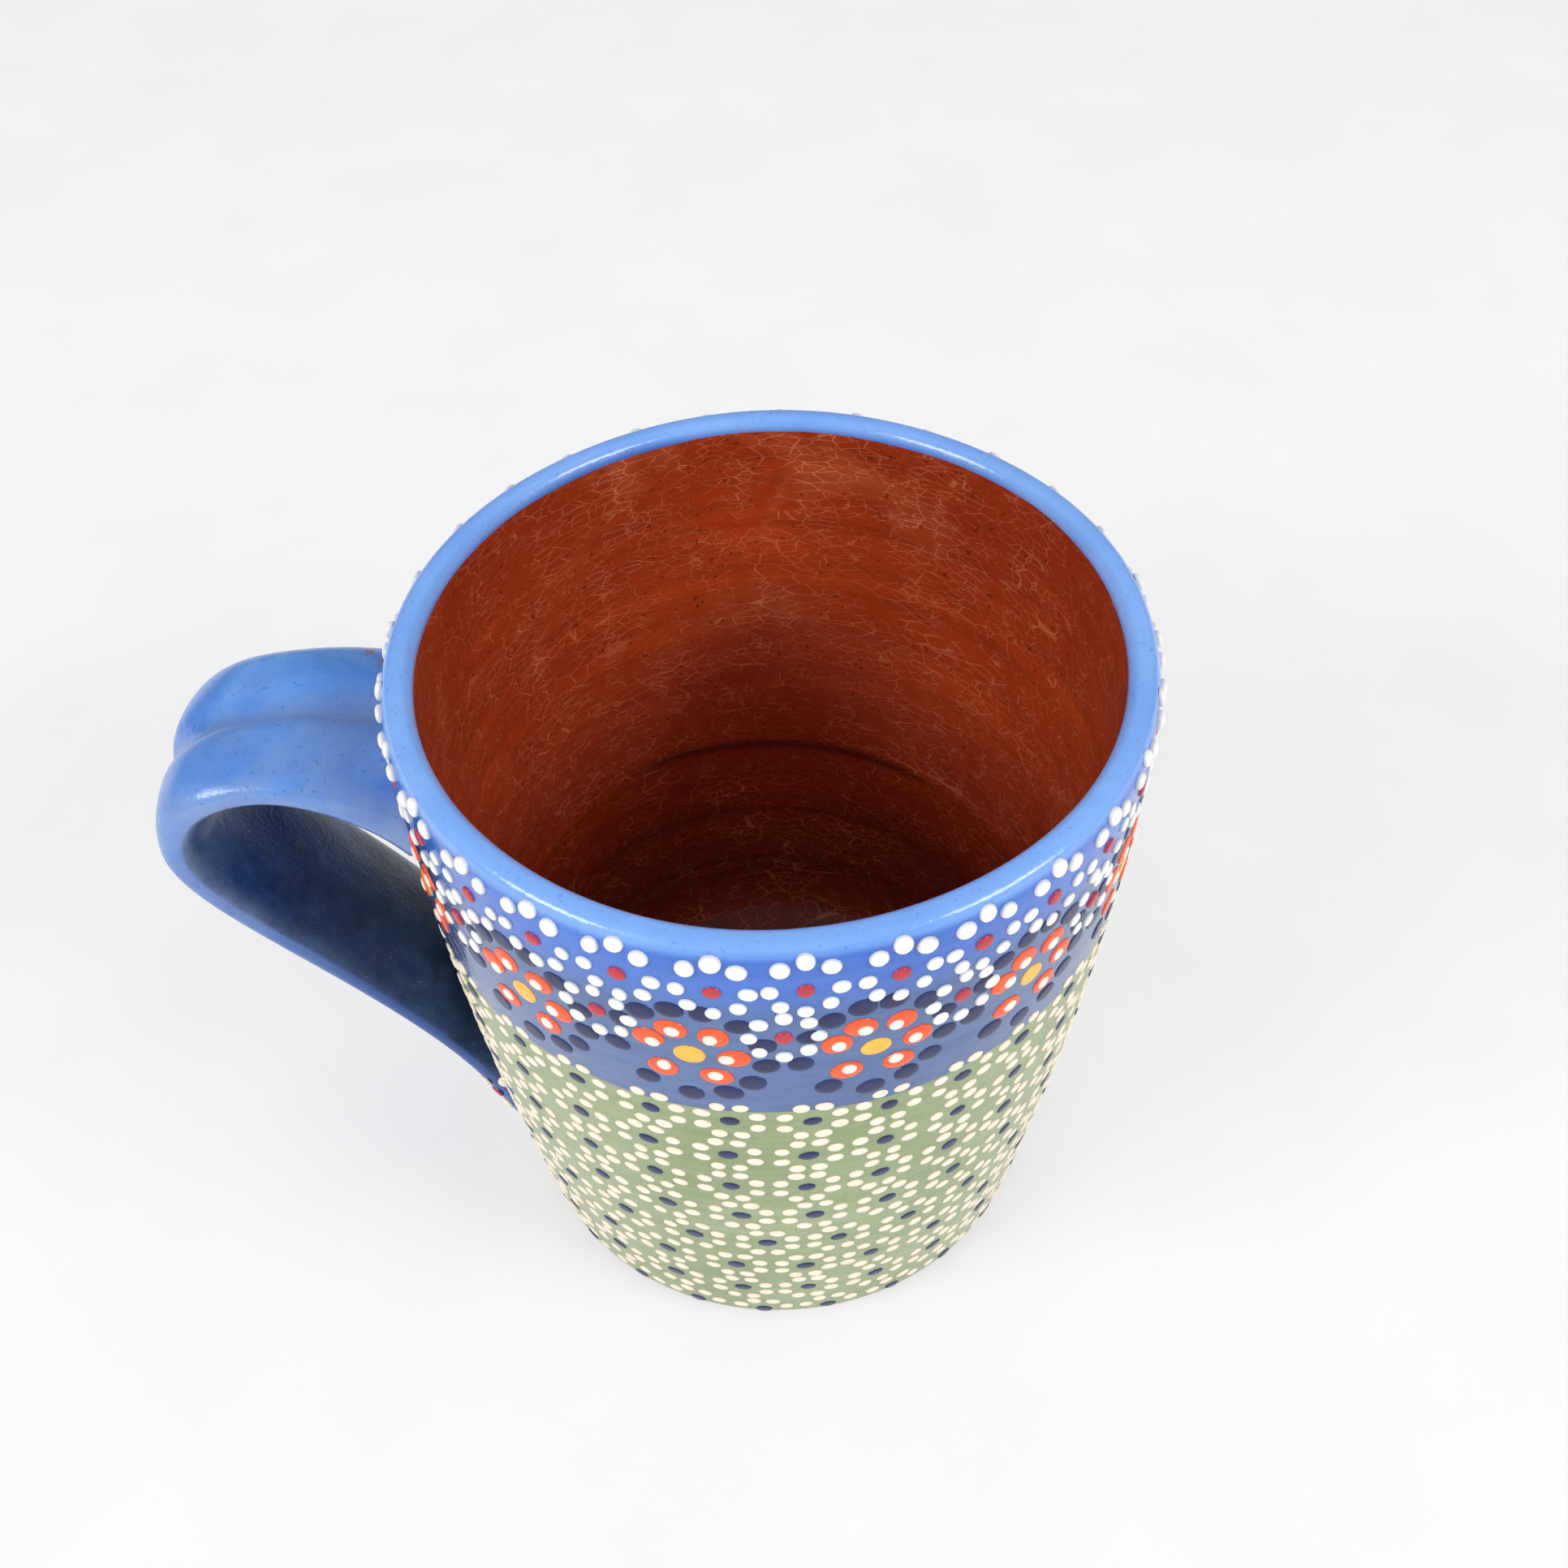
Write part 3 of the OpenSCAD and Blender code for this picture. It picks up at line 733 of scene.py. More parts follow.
class Shader(Nodes):
    """A material, with short calls for what these finishes need."""

    def __init__(self, name):
        self.material = bpy.data.materials.new(name)
        super().__init__(self.material)
        self.bsdf = self.node("BsdfPrincipled")
        self.out = self.node("OutputMaterial", {"Surface": self.bsdf.outputs["BSDF"]})
        self.where = self.node("TexCoord").outputs["Object"]

    def scaled(self, at, x, y, z):
        return self.node("Mapping", {"Scale": (x, y, z), "Vector": at}).outputs["Vector"]

    def stretched(self, x, y, z):
        """Object coordinates scaled by axis, in features per metre."""
        return self.scaled(self.where, x, y, z)

    def noise(self, scale, detail, rough, warp=0.0, at=None):
        inputs = {"Scale": scale, "Detail": detail, "Roughness": rough, "Distortion": warp}
        return self.node("TexNoise", {**inputs, "Vector": at or self.where}).outputs["Fac"]

    def cracks(self, at):
        """Distance to the nearest edge of a net of cells, one for each unit of the coordinates."""
        n = self.node("TexVoronoi", {"Scale": 1, "Vector": at}, feature="DISTANCE_TO_EDGE")
        return n.outputs["Distance"]

    def ramp(self, value, *stops):
        """Maps a value through (place, tone) stops. A tone is a grey or a colour as seen on screen."""
        n = self.node("ValToRGB", {"Fac": value})
        while len(n.color_ramp.elements) < len(stops):
            n.color_ramp.elements.new(0.5)
        for element, (at, tone) in zip(n.color_ramp.elements, stops):
            element.position = at
            element.color = srgb(*tone) if isinstance(tone, tuple) else (tone, tone, tone, 1)
        return n.outputs["Color"]

    def mix(self, share, a, b):
        """From one colour to another by a share. A plain colour is given as it is seen on screen."""
        a, b = (srgb(*c) if isinstance(c, tuple) else c for c in (a, b))
        return self.node("Mix", {"Factor": share, "A": a, "B": b}, data_type="RGBA").outputs["Result"]

    def math(self, operation, a, b):
        return self.node("Math", {0: a, 1: b}, operation=operation).outputs["Value"]

    def times(self, a, b):
        return self.math("MULTIPLY", a, b)

    def height(self, low, high):
        """0 below one height of the mug and 1 above another, in millimetres."""
        z = self.node("SeparateXYZ", {"Vector": self.where}).outputs["Z"]
        inputs = {"Value": z, "From Min": low * MM, "From Max": high * MM}
        return self.node("MapRange", inputs, interpolation_type="SMOOTHSTEP").outputs["Result"]

    def attribute(self, name):
        return self.node("Attribute", attribute_name=name).outputs["Fac"]

    def bump(self, height, depth, base=None):
        n = self.node("Bump", {"Strength": 1.0, "Distance": depth, "Height": height})
        if base is not None:
            self.feed(n, {"Normal": base})
        return n.outputs["Normal"]

    def finish(self, colour, rough, normal=None, coat=0.0, coat_rough=0.08, ior=1.5):
        coats = {"Coat Weight": coat, "Coat Roughness": coat_rough}
        self.feed(self.bsdf, {"Base Color": colour, "Roughness": rough, "IOR": ior, **coats})
        if normal is not None:
            self.feed(self.bsdf, {"Normal": normal})
        return self.material


# Depths in metres of the glaze's waves, the clay's grain, and the lines, peel and hairs inside the cup
DEPTHS = {
    "dots": 0.00002, "green": 0.00005, "cup": 0.00008, "strap": 0.00009,
    "grain": 0.00006, "lines": 0.00004, "peel": 0.00003, "hairs": 0.00003,
}
# What a glaze's slow waves and its fine orange peel have of its depth
WAVE_SHARE = 2.2
PEEL_SHARE = 0.8


def glaze_normal(s, depth):
    """The slow waves of a brushed glaze, with a fine orange peel over them."""
    waves = s.bump(s.noise(170, 2, 0.5), depth * WAVE_SHARE)
    return s.bump(s.noise(1500, 3, 0.6), depth * PEEL_SHARE, base=waves)


def slip_colour(s, pale, deep, grey):
    """Brushed slip: cloudy, with streaks round the pot and fine dark specks."""
    cloud = s.noise(55, 5, 0.6, 0.4)
    brush = s.noise(1, 4, 0.55, at=s.stretched(45, 45, 520))
    colour = s.mix(s.ramp(cloud, (0.32, 0.0), (0.68, 1.0)), deep, pale)
    colour = s.mix(s.times(s.ramp(brush, (0.42, 0.0), (0.74, 1.0)), 0.35), colour, grey)
    speck = s.ramp(s.noise(1500, 2, 0.6), (0.3, 1.0), (0.35, 0.0))
    return colour, speck


# Heights between which the band's painted shade, a greyer blue, turns to the deeper painted shade under the
# lip, and that to the lip's painted light, a paler blue
NECK_SHADE_Z = (80, 87)
LIP_LIGHT_Z = (MUG_H - 2.2, MUG_H - 0.7)


def cup_blue():
    """Blue on the cup, with painted light and shade: paler on the lip, which faces up, deep under it where
    the shoulder turns down, and greyer on the upright wall round the flowers.
    """
    s = Shader("blue_slip_glazed")
    # Painted light and shade: the paler lip blue is painted light where the lip faces up; the deep neck
    # blue and the greyer band blue are painted shade
    lit_lip_colour, speck = slip_colour(s, (128, 170, 236), (112, 156, 226), (148, 186, 240))
    shaded_neck_colour, _ = slip_colour(s, (62, 114, 206), (48, 98, 190), (84, 132, 210))
    shaded_band_colour, _ = slip_colour(s, (74, 104, 156), (60, 88, 142), (98, 126, 170))
    colour = s.mix(s.height(*NECK_SHADE_Z), shaded_band_colour, shaded_neck_colour)
    colour = s.mix(s.height(*LIP_LIGHT_Z), colour, lit_lip_colour)
    colour = s.mix(s.times(speck, 0.25), colour, (52, 68, 110))
    rough = s.ramp(s.noise(420, 4, 0.65), (0.2, 0.1), (0.8, 0.2))
    normal = glaze_normal(s, DEPTHS["cup"])
    return s.finish(colour, rough, normal, coat=0.3, coat_rough=0.03, ior=1.45)


# Heights on the strap between which the painted shade of its lower part gives way to its blue, the pale
# slip and painted reflection on its inner face grow, and its edges grow worn
STRAP_SHADE_Z = (44, 82)
STRAP_PALE_REFLECTION_Z = (56, 76)
STRAP_WORN_Z = (40, 66)


def handle_blue():
    """Blue on the strap: mottled, thin and grey on its edges and in its groove, with painted shade on its
    lower part, and dark on its inner face from thick slip and painted shade, with pale slip and painted
    reflection near the bend.
    """
    s = Shader("handle_slip_glazed")
    colour, speck = slip_colour(s, (106, 156, 224), (50, 104, 196), (130, 160, 200))
    cloud = s.ramp(s.noise(34, 5, 0.7, 0.6), (0.42, 0.0), (0.66, 1.0))
    colour = s.mix(s.times(cloud, 0.55), colour, (118, 142, 182))
    # Painted shade: the strap's lower part is darker
    shade = s.mix(s.noise(70, 4, 0.6), (28, 66, 134), (56, 98, 168))
    colour = s.mix(s.height(*STRAP_SHADE_Z), shade, colour)
    # The inner face: thick dark slip, deepened further with painted shade
    depth = s.ramp(s.noise(90, 5, 0.7), (0.35, 0.0), (0.65, 1.0))
    inner = s.mix(depth, (22, 40, 82), (48, 76, 128))
    # Pale patches on the inner face near the bend: partly thin slip, partly painted reflection
    pale_slip_and_reflection = s.ramp(s.noise(60, 5, 0.7, 0.5), (0.44, 0.0), (0.62, 1.0))
    pale_slip_and_reflection = s.times(pale_slip_and_reflection, s.times(s.height(*STRAP_PALE_REFLECTION_Z), 0.6))
    inner = s.mix(pale_slip_and_reflection, inner, (90, 112, 148))
    colour = s.mix(s.attribute("inner"), colour, inner)
    patches = s.ramp(s.noise(120, 5, 0.7), (0.34, 0.2), (0.64, 1.0))
    worn = s.times(s.times(s.attribute("thin"), patches), s.height(*STRAP_WORN_Z))
    colour = s.mix(s.times(worn, 0.5), colour, (128, 150, 184))
    bare = s.times(s.attribute("bare"), s.noise(260, 4, 0.7))
    bare = s.times(s.ramp(bare, (0.28, 0.0), (0.42, 1.0)), 0.8)
    colour = s.mix(bare, colour, (150, 84, 66))
    pale_specks = s.ramp(s.noise(1700, 3, 0.7), (0.66, 0.0), (0.74, 1.0))
    colour = s.mix(s.times(pale_specks, 0.3), colour, (160, 184, 226))
    colour = s.mix(s.times(speck, 0.35), colour, (44, 56, 96))
    rough = s.ramp(s.noise(420, 4, 0.65), (0.2, 0.13), (0.8, 0.3))
    normal = glaze_normal(s, DEPTHS["strap"])
    return s.finish(colour, rough, normal, coat=0.15, coat_rough=0.06, ior=1.42)


def green_slip():
    """Green on the lower wall: cloudy, with pale streaks round the pot and brown specks."""
    s = Shader("green_slip_glazed")
    cloud = s.noise(48, 5, 0.6, 0.3)
    brush = s.noise(1, 4, 0.55, at=s.stretched(45, 45, 600))
    colour = s.mix(s.ramp(cloud, (0.32, 0.0), (0.7, 1.0)), (128, 146, 96), (150, 165, 120))
    streaks = s.times(s.ramp(brush, (0.45, 0.0), (0.75, 1.0)), 0.35)
    colour = s.mix(streaks, colour, (176, 182, 152))
    speck = s.ramp(s.noise(1300, 2, 0.6), (0.31, 1.0), (0.36, 0.0))
    colour = s.mix(s.times(speck, 0.3), colour, (104, 104, 66))
    rough = s.ramp(s.noise(380, 3, 0.6), (0.2, 0.2), (0.8, 0.34))
    normal = glaze_normal(s, DEPTHS["green"])
    return s.finish(colour, rough, normal, coat=0.1, coat_rough=0.09, ior=1.42)


# The brown fringe where the glaze meets the slip inside the lip
FRINGE_Z = (MUG_H - 2.1, MUG_H - 1.4)
# Heights inside between which the painted shade low in the cup gives way to the clay's colour, painted
# shade darkens it again to the mouth, and a painted sheen shows
INSIDE_SHADE_Z = (10, 64)
INSIDE_MOUTH_SHADE_Z = (62, 92)
INSIDE_SHEEN_Z = (30, 70)
# The crackle's two nets: (cells in a metre, how flat the cells are, width of a hair as a share of a cell)
CRACKLES = ((240, 3.0, 0.036), (430, 2.2, 0.04))
# How far the hairs wander, in metres along each axis, and how often, in features per metre
CRACKLE_WANDER = (0.0005, 0.0005, 0.0004)
CRACKLE_WANDER_SCALE = 260


def crackle(s):
    """Pale hairs, 1 on a hair and 0 beside it, in patches and mostly lying along the throwing lines."""
    warp = s.node("TexNoise", {"Scale": CRACKLE_WANDER_SCALE, "Vector": s.where}).outputs["Color"]
    bent = {0: warp, 1: CRACKLE_WANDER, 2: s.where}
    bent = s.node("VectorMath", bent, operation="MULTIPLY_ADD").outputs["Vector"]
    nets = []
    for size, flat, width in CRACKLES:
        net = s.cracks(s.scaled(bent, size, size, size * flat))
        patches = s.ramp(s.noise(size * 0.6, 3, 0.6), (0.42, 0.0), (0.56, 1.0))
        nets.append(s.times(s.ramp(net, (0.0, 1.0), (width, 0.0)), patches))
    return s.math("MAXIMUM", *nets)


def inner_clay():
    """Red clay under clear glaze: throwing lines, a fine pale crackle and iron specks, with painted shade
    low down and at the mouth, and a painted sheen on the upper wall.
    """
    s = Shader("red_clay_glazed")
    cloud = s.noise(40, 4, 0.6, 0.5)
    lines = s.noise(1, 5, 0.6, at=s.stretched(24, 24, 380))
    colour = s.mix(s.ramp(cloud, (0.3, 0.0), (0.72, 1.0)), (158, 53, 22), (184, 68, 30))
    # Painted shade: darker towards the floor, and darker again towards the mouth
    deep = s.mix(s.noise(30, 3, 0.5), (120, 36, 14), (140, 46, 20))
    colour = s.mix(s.height(*INSIDE_SHADE_Z), deep, colour)
    colour = s.mix(s.times(s.height(*INSIDE_MOUTH_SHADE_Z), 0.55), colour, (134, 40, 18))
    hollows = s.times(s.ramp(lines, (0.36, 1.0), (0.56, 0.0)), 0.3)
    colour = s.mix(hollows, colour, (128, 38, 16))
    # Painted sheen: pale warm patches on the upper wall, with the crackle's hairs brighter in them
    sheen = s.ramp(s.noise(46, 4, 0.65, 0.3), (0.52, 0.0), (0.72, 1.0))
    painted_sheen = s.times(sheen, s.times(s.height(*INSIDE_SHEEN_Z), 0.4))
    colour = s.mix(painted_sheen, colour, (206, 108, 70))
    hair = crackle(s)
    lit = s.math("ADD", s.times(sheen, 0.5), 0.4)
    colour = s.mix(s.times(hair, lit), colour, (236, 146, 104))
    colour = s.mix(s.times(s.attribute("line"), 0.8), colour, (52, 14, 6))
    speck = s.ramp(s.noise(1100, 2, 0.5), (0.29, 1.0), (0.34, 0.0))
    colour = s.mix(s.times(speck, 0.6), colour, (60, 16, 8))
    ragged = s.times(s.noise(300, 3, 0.6), 0.4)
    fringe = s.math("ADD", s.height(*FRINGE_Z), ragged)
    colour = s.mix(s.ramp(fringe, (1.0, 0.0), (1.12, 1.0)), colour, (88, 36, 28))
    rough = s.ramp(s.noise(300, 3, 0.6), (0.25, 0.2), (0.75, 0.4))
    normal = s.bump(lines, DEPTHS["lines"])
    normal = s.bump(s.noise(700, 4, 0.6), DEPTHS["peel"], base=normal)
    normal = s.bump(hair, DEPTHS["hairs"], base=normal)
    return s.finish(colour, rough, normal, coat=1.0, coat_rough=0.03, ior=1.4)


def bare_clay():
    """Unglazed red clay: cloudy, grainy and scuffed."""
    s = Shader("red_clay_bare")
    cloud = s.noise(60, 5, 0.65)
    grain = s.noise(1800, 4, 0.7)
    colour = s.mix(s.ramp(cloud, (0.3, 0.0), (0.7, 1.0)), (146, 78, 52), (172, 98, 68))
    pits = s.times(s.ramp(grain, (0.35, 1.0), (0.5, 0.0)), 0.35)
    colour = s.mix(pits, colour, (110, 54, 36))
    scuff = s.ramp(s.noise(1, 4, 0.6, at=s.stretched(90, 300, 90)), (0.55, 0.0), (0.75, 1.0))
    colour = s.mix(s.times(scuff, 0.25), colour, (200, 140, 110))
    return s.finish(colour, s.ramp(grain, (0.2, 0.6), (0.8, 0.85)), s.bump(grain, DEPTHS["grain"]))


def dot_slip(name, base, shade, rim, thin=0.7):
    """Slip of one colour that thins towards the edge of each dot, where the ground shows through."""
    s = Shader(name)
    cloud = s.noise(600, 3, 0.6)
    colour = s.mix(s.ramp(cloud, (0.3, 0.0), (0.7, 1.0)), base, shade)
    speck = s.ramp(s.noise(2600, 2, 0.6), (0.28, 1.0), (0.34, 0.0))
    colour = s.mix(s.times(speck, 0.2), colour, rim)
    colour = s.mix(s.times(s.attribute("edge"), thin), colour, rim)
    rough = s.ramp(s.noise(800, 2, 0.5), (0.2, 0.18), (0.8, 0.32))
    normal = s.bump(s.noise(1200, 3, 0.6), DEPTHS["dots"])
    return s.finish(colour, rough, normal, coat=0.05, coat_rough=0.1, ior=1.38)


BLUE = cup_blue()
HANDLE_BLUE = handle_blue()
GREEN = green_slip()
INSIDE = inner_clay()
CLAY = bare_clay()
WHITE = dot_slip("white_dot_slip", (250, 246, 238), (242, 236, 226), (150, 168, 200))
CREAM = dot_slip("cream_dot_slip", (248, 238, 220), (240, 228, 206), (196, 158, 112), 0.6)
RED = dot_slip("red_dot_slip", (196, 58, 66), (178, 48, 58), (120, 70, 120))
NAVY = dot_slip("navy_dot_slip", (28, 40, 92), (18, 28, 72), (40, 60, 112))
ORANGE = dot_slip("orange_petal_slip", (250, 98, 46), (238, 82, 34), (206, 84, 60))
YELLOW = dot_slip("yellow_heart_slip", (246, 192, 74), (236, 176, 56), (206, 160, 84))
PALE = dot_slip("petal_highlight_slip", (255, 244, 234), (250, 230, 214), (244, 160, 120))


# Rows along each stretch of the cup's outline
WALL_ROWS = 40
SHOULDER_ROWS = 18
LIP_ROWS = 8
UNDER_EDGE_ROWS = 5
INSIDE_ROWS = 150
CORNER_ROWS = 12
FLOOR_ROWS = 27
FOOT_ROWS = 14
FOOT_EDGE_ROWS = 6


def low_wall(inset):
    return [outer_row(t, SLIP_FOOT_GAP, band_line, inset) for t in spread(0, 1, WALL_ROWS)]


def high_wall(inset):
    """The wall over the painted line, and the shoulder up to the lip's crest."""
    wall = [outer_row(t, band_line, SHOULDER_Z, inset) for t in spread(0, 1, WALL_ROWS)]
    return wall + [shoulder(a, inset) for a in spread(0, math.pi / 2, SHOULDER_ROWS)[1:-1]]


def over_lip(inset):
    """From the lip's crest to the slip's edge inside."""
    return [lip_row(t, inset, math.pi / 2, slip_edge) for t in spread(0, 1, LIP_ROWS)]


def lining(inset):
    """From the slip's edge down the inside to the middle of the floor."""
    rows = [lip_row(t, inset, slip_edge, math.pi) for t in spread(0, 1, UNDER_EDGE_ROWS)]
    rows += [inner_row(z, inset) for z in spread(LIP_Z, CORNER_Z, INSIDE_ROWS)[1:]]
    rows += [corner_row(t, inset) for t in spread(0, 1, CORNER_ROWS)[1:]]
    rows += [floor_row(FLOOR_EDGE_R * t, inset) for t in spread(1, 0, FLOOR_ROWS)[1:-1]]
    return rows + [(0, FLOOR_T - inset)]


def foot_rows():
    """From the middle of the foot round its edge to the wall."""
    edge = wall_r(FOOT_EDGE_R) - SLIP_T - FOOT_EDGE_R
    rows = [(edge * t, 0.0) for t in spread(0, 1, FOOT_ROWS)[:-1]]
    return rows + [
        (edge + FOOT_EDGE_R * math.sin(t), FOOT_EDGE_R * (1 - math.cos(t)))
        for t in spread(0, math.pi / 2, FOOT_EDGE_ROWS)
    ]


def build_cup():
    blue = high_wall(0) + over_lip(0) + over_lip(SLIP_T)[::-1] + high_wall(SLIP_T)[::-1]
    new_piece("blue_coat", *turned(blue), BLUE, "blue_slip_coat")
    green = low_wall(0) + low_wall(SLIP_T)[::-1]
    new_piece("green_coat", *turned(green), GREEN, "green_slip_coat")
    points, faces = turned(lining(0) + lining(GLAZE_T)[::-1])
    lines = {"line": [throwing_line(p) for p in points]}
    piece = new_piece("inside_glaze", points, faces, INSIDE, "inner_glaze", attributes=lines)
    clay = foot_rows() + low_wall(SLIP_T) + high_wall(SLIP_T)[1:] + over_lip(SLIP_T) + lining(GLAZE_T)
    new_piece("cup_clay", *turned(clay), CLAY, "clay_cup")


# Rings along the strap and sides round it, for its slip and for the clay inside that
STRAP_MESH = (150, 72)
STRAP_CLAY_MESH = (60, 36)
STRAP_CLAY_INSET = 0.6


def build_handle():
    points, faces, slip = strap_mesh(0.0, *STRAP_MESH)
    piece = new_piece("handle_coat", points, faces, HANDLE_BLUE, "handle_slip_coat", attributes=slip)
    points, faces, _ = strap_mesh(STRAP_CLAY_INSET, *STRAP_CLAY_MESH)
    new_piece("handle_clay", points, faces, CLAY, "clay_handle")


# Angles in degrees at which the upper rings, the flowers and the lattice's rows start
FIRST_RING_A = 247.6
FIRST_FLOWER_A = 256.3
FIRST_LATTICE_A = 260
# Turn of a lattice ring, as a share of the step between its dots
LATTICE_TURN_SHARE = 0.5
# Numbers of the first large dot and the first small dot of an upper ring, and how many there are of each
LARGE_FIRST = 1
LARGE_COUNT = 3
SMALL_FIRST = LARGE_FIRST + LARGE_COUNT
SMALL_COUNT = RING_DOTS - LARGE_COUNT
# Stretch of the dabs across the wall, which are squeezed as much up and down
FLAT_WIDER = 1.05
PETAL_WIDER = 1.06
NAVY_WIDER = 1.1
CREAM_WIDER = 1.12
# How far over the ground the small white and red dots start
SMALL_LAYER = 0.06
RED_LAYER = 0.03
# A highlight's shift off its petal's middle, its seat in the petal's height, and its sway in degrees
HIGHLIGHT_SHIFT_SHARE = 0.15
HIGHLIGHT_SEAT_SHARE = 0.85
HIGHLIGHT_SWAY = 25
UPPER_COUNT = math.floor(2 * math.pi * wall_r(RING_TOP_Z) / RING_PITCH)
FLOWER_COUNT = math.floor(2 * math.pi * wall_r(FLOWER_Z) / FLOWER_PITCH)


def round_wall(first_a, z, count, first_number, shift=0.0):
    """Evenly spaced spots round the wall, each moved a little by its number."""
    return [
        place((first_a + 360 * (i + shift) / count, z), wander(i + first_number))
        for i in range(count)
    ]


UPPER_RINGS = round_wall(FIRST_RING_A, RING_TOP_Z, UPPER_COUNT, 0)
FLOWERS = round_wall(FIRST_FLOWER_A, FLOWER_Z, FLOWER_COUNT, UPPER_COUNT)
LOWER_RINGS = round_wall(FIRST_FLOWER_A, RING_LOW_Z, FLOWER_COUNT, 2 * UPPER_COUNT, LOWER_RING_SHARE)


def build_garland():
    lifted = [(a, z + LARGE_DOT_LIFT) for a, z in UPPER_RINGS]
    large = ring_spots(lifted, RING_R, LARGE_FIRST, LARGE_COUNT)
    beads = wall_dots(
        "garland_large", large, LARGE_DOT_D, LARGE_RISE, WHITE, "garland_large_dots", profile=BEAD,
    )
    small = ring_spots(UPPER_RINGS, RING_R, SMALL_FIRST, SMALL_COUNT) + ring_spots(LOWER_RINGS, RING_R)
    drops = wall_dots(
        "garland_small", small, SMALL_DOT_D, SMALL_RISE, WHITE, "garland_small_dots",
        layer=SMALL_LAYER, profile=BEAD,
    )
    rings = UPPER_RINGS + LOWER_RINGS
    red = wall_dots("garland_red", rings, RED_DOT_D, RED_RISE, RED, "garland_red_dots", layer=RED_LAYER)


def build_flowers():
    hearts = wall_dots(
        "flower_hearts_slip", FLOWERS, HEART_D, FLAT_RISE, YELLOW, "flower_hearts", wider=FLAT_WIDER,
    )
    petals = Dots()
    lights = Dots()
    seed = 0
    for flower in FLOWERS:
        for turn in PETAL_TURNS:
            spot = place(flower, polar(PETAL_RING_R, turn))
            seed += 1
            if not off_strap(spot, PETAL_D):
                continue
            at, across, up, out = wall_frame(spot)
            petals.add((at, across, up, out), PETAL_D, PETAL_RISE, seed, wider=PETAL_WIDER)
            shift = HIGHLIGHT_SHIFT_SHARE * PETAL_D * (1 + 0.5 * math.sin(seed * 1.7))
            du, dv = polar(-shift, turn + HIGHLIGHT_SWAY * math.sin(seed * 2.9))
            seat = at + across * du + up * dv + out * (PETAL_RISE * HIGHLIGHT_SEAT_SHARE)
            lights.add((seat, across, up, out), HIGHLIGHT_D, HIGHLIGHT_RISE, seed, BEAD)
    petals.piece("flower_petals_slip", ORANGE, "flower_petals")
    lights.piece("petal_highlights_slip", PALE, "petal_highlights")
    outline = [place(flower, polar(OUTLINE_RING_R, turn)) for flower in FLOWERS for turn in OUTLINE_TURNS]
    piece = wall_dots(
        "flower_outline", outline, OUTLINE_DOT_D, FLAT_RISE, NAVY, "flower_outline_dots",
        wider=FLAT_WIDER,
    )


def build_lattice():
    rings = []
    rows = 1 + math.floor((LATTICE_TOP_Z - SLIP_FOOT_GAP) / ROW_PITCH)
    for k in range(rows):
        z = LATTICE_TOP_Z - k * ROW_PITCH
        count = math.floor(2 * math.pi * wall_r(z) / COLUMN_PITCH)
        rings += round_wall(FIRST_LATTICE_A, z, count, k * rows, ROW_TURN_SHARES[k])
    navy = wall_dots(
        "lattice_navy", rings, NAVY_DOT_D, FLAT_RISE, NAVY, "lattice_navy_dots", wider=NAVY_WIDER,
    )
    cream = ring_spots(rings, LATTICE_RING_R, turn=LATTICE_TURN_SHARE)
    dabs = wall_dots(
        "lattice_cream", cream, CREAM_DOT_D, CREAM_RISE, CREAM, "lattice_cream_dots", wider=CREAM_WIDER,
    )


# The ring of dots on the strap: its place along, its turn round the section and its radius
STRAP_RING_S = 2.03
STRAP_RING_A = math.radians(165)
STRAP_RING_R = 2.9


def strap_frame(s, a):
    """Place on the strap, and its directions round it, along it and out of it."""
    step = 0.01
    at = strap_point(s, a)
    along = (strap_point(s + step, a) - strap_point(s - step, a)).normalized()
    round_it = (strap_point(s, a + step) - strap_point(s, a - step)).normalized()
    out = along.cross(round_it).normalized()
    return settled(at), round_it, along, out


def build_handle_dots():
    cream = Dots()
    for j in range(RING_DOTS):
        x, y = polar(STRAP_RING_R, 360 * j / RING_DOTS)
        s = STRAP_RING_S + y / strap_slope(STRAP_RING_S).length
        a = STRAP_RING_A + x / (STRAP_T / 2)
        cream.add(strap_frame(s, a), SMALL_DOT_D, SMALL_RISE, j, BEAD)
    cream.piece("handle_cream", CREAM, "handle_cream_dots")
    red = Dots()
    red.add(strap_frame(STRAP_RING_S, STRAP_RING_A), RED_DOT_D, RED_RISE, seed=3)
    red.piece("handle_red", RED, "handle_red_dot")


def dress_joints():
    """The joining slip keeps its CAD shape and takes the look of bare clay."""
    for name in ("upper_joint_slip", "lower_joint_slip"):
        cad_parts[name].data.materials.clear()
        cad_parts[name].data.materials.append(CLAY)


def build_camera():
    yaw, pitch, roll = (math.radians(v) for v in (CAMERA_YAW, CAMERA_PITCH, CAMERA_ROLL))
    forward = Vector((math.sin(yaw) * math.cos(pitch), math.cos(yaw) * math.cos(pitch), math.sin(pitch)))
    right = Vector((math.cos(yaw), -math.sin(yaw), 0))
    up = right.cross(forward)
    rolled_right = right * math.cos(roll) + up * math.sin(roll)
    rolled_up = up * math.cos(roll) - right * math.sin(roll)
    turn = Matrix.Rotation(math.radians(CAMERA_TURN), 3, "Z")
    axes = Matrix((turn @ rolled_right, turn @ rolled_up, turn @ -forward)).transposed()
    camera = bpy.data.cameras.new("camera")
    camera.sensor_width = SENSOR
    camera.lens = FOCAL_PX / IMAGE_PX * SENSOR
    camera.clip_start = 0.01
    camera.clip_end = 20
    holder = bpy.data.objects.new("camera", camera)
    holder.matrix_world = Matrix.Translation(turn @ Vector(CAMERA_AT) * MM) @ axes.to_4x4()
    bpy.context.scene.collection.objects.link(holder)
    bpy.context.scene.camera = holder


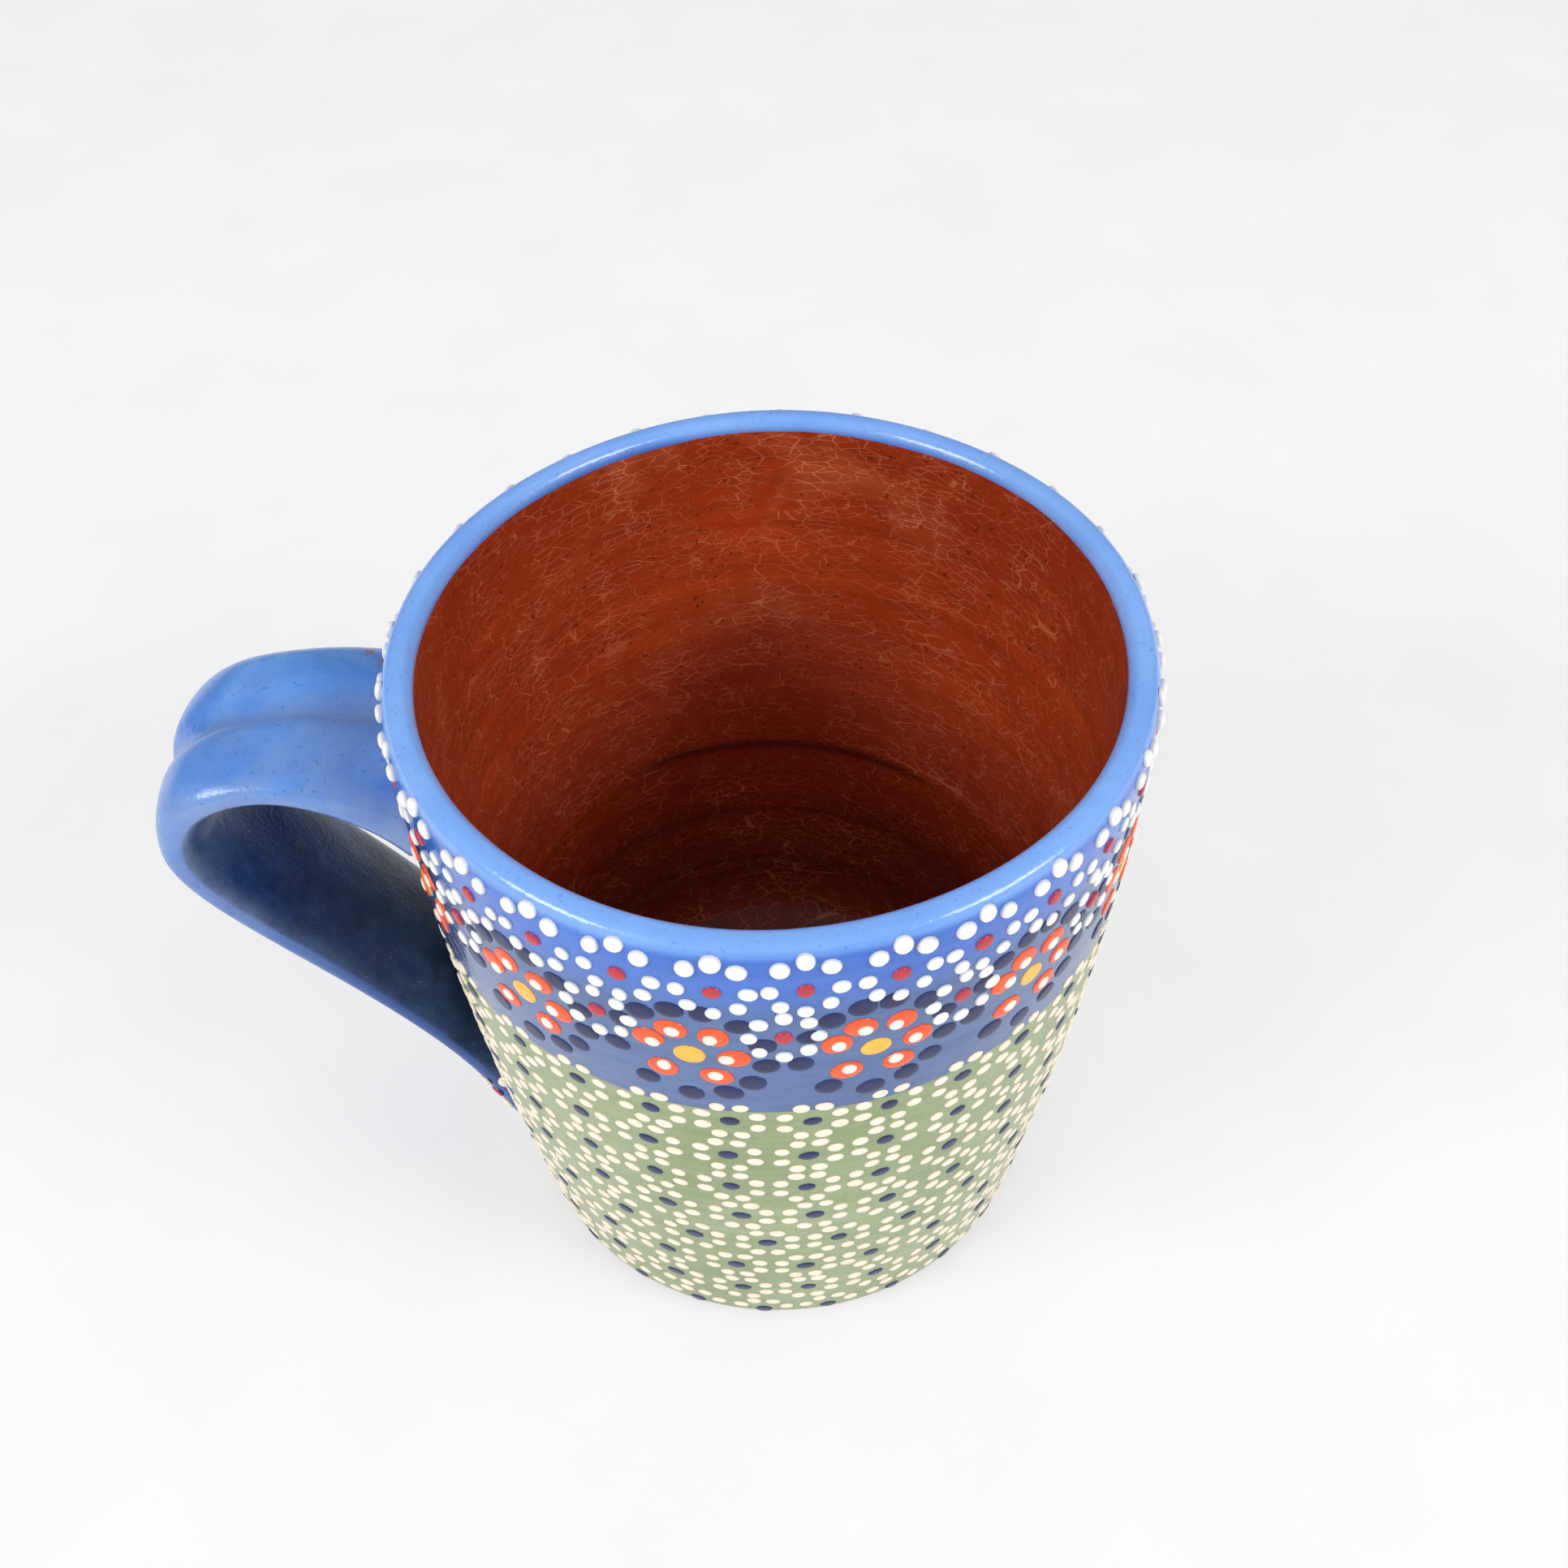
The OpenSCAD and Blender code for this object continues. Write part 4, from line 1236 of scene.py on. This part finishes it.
# What the lamps face, in metres
LAMP_AIM = Vector((0, 0, 0.05))


def softbox(name, at, size, watts, mirrored):
    """An area lamp that faces the mug. The big fills are too soft to show as a reflection in the glaze."""
    light = bpy.data.lights.new(name, "AREA")
    light.shape = "RECTANGLE"
    light.size, light.size_y = size
    light.energy = watts
    lamp = bpy.data.objects.new(name, light)
    lamp.visible_glossy = mirrored
    aim = LAMP_AIM - Vector(at)
    lamp.matrix_world = Matrix.Translation(at) @ aim.to_track_quat("-Z", "Y").to_matrix().to_4x4()
    bpy.context.scene.collection.objects.link(lamp)


# Lamps: (name, place and size in metres, watts, whether the glaze shows its reflection)
LAMPS = (
    ("left_window", (-0.72, -0.42, 0.62), (0.45, 0.30), 5.0, True),
    ("right_window", (0.72, -0.42, 0.62), (0.45, 0.30), 4.7, True),
    ("front_fill", (0.0, -1.15, 0.85), (1.8, 0.7), 3.0, False),
    ("top_fill", (0.0, 0.1, 1.3), (1.2, 1.0), 1.6, False),
)
# The room: its colour and strength as a light, its strength in the glaze, and how the camera sees it
SKY = (0.95, 0.97, 1.0, 1)
SKY_LIGHT = 0.5
SKY_MIRRORED = 0.07
BACKDROP = srgb(247, 247, 247)


def build_lights():
    """Soft lamps in a room that is pale to the camera, dim in the glaze and even as a light."""
    for lamp in LAMPS:
        softbox(*lamp)
    world = bpy.data.worlds.new("studio")
    s = Nodes(world)
    backdrops = ((SKY, SKY_LIGHT), (SKY, SKY_MIRRORED), (BACKDROP, 1.0))
    even, dim, pale = (
        s.node("Background", {"Color": colour, "Strength": strength}).outputs["Background"]
        for colour, strength in backdrops
    )
    rays = s.node("LightPath").outputs
    room = s.blend(rays["Is Glossy Ray"], even, dim)
    s.node("OutputWorld", {"Surface": s.blend(rays["Is Camera Ray"], room, pale)})
    bpy.context.scene.world = world


# How white the table looks, and how much of its look that is. The rest keeps the mug's shadow
FLOOR_WHITE = 1.0
FLOOR_WHITE_SHARE = 0.6
# Half the table's side in metres, and its roughness
FLOOR_HALF = 3.0
FLOOR_ROUGH = 0.85


def build_floor():
    corners = [(x * FLOOR_HALF, y * FLOOR_HALF, 0) for x, y in ((-1, -1), (1, -1), (1, 1), (-1, 1))]
    mesh = bpy.data.meshes.new("table_top")
    mesh.from_pydata(corners, [], [(0, 1, 2, 3)])
    floor = bpy.data.objects.new("table_top", mesh)
    bpy.context.scene.collection.objects.link(floor)
    s = Shader("table_top_paper")
    colour = s.ramp(s.noise(30, 3, 0.5), (0.3, (243, 243, 244)), (0.7, (246, 246, 246)))
    s.finish(colour, FLOOR_ROUGH)
    white = s.node("Emission", {"Color": colour, "Strength": FLOOR_WHITE}).outputs["Emission"]
    rays = s.node("LightPath").outputs
    seen = s.math("MAXIMUM", rays["Is Camera Ray"], rays["Is Glossy Ray"])
    look = s.blend(s.times(seen, FLOOR_WHITE_SHARE), s.bsdf.outputs["BSDF"], white)
    s.feed(s.out, {"Surface": look})
    mesh.materials.append(s.material)


build_camera()
build_cup()
build_handle()
build_garland()
build_flowers()
build_lattice()
build_handle_dots()
dress_joints()
build_lights()
build_floor()

scene = bpy.context.scene
scene.view_settings.view_transform = "Standard"
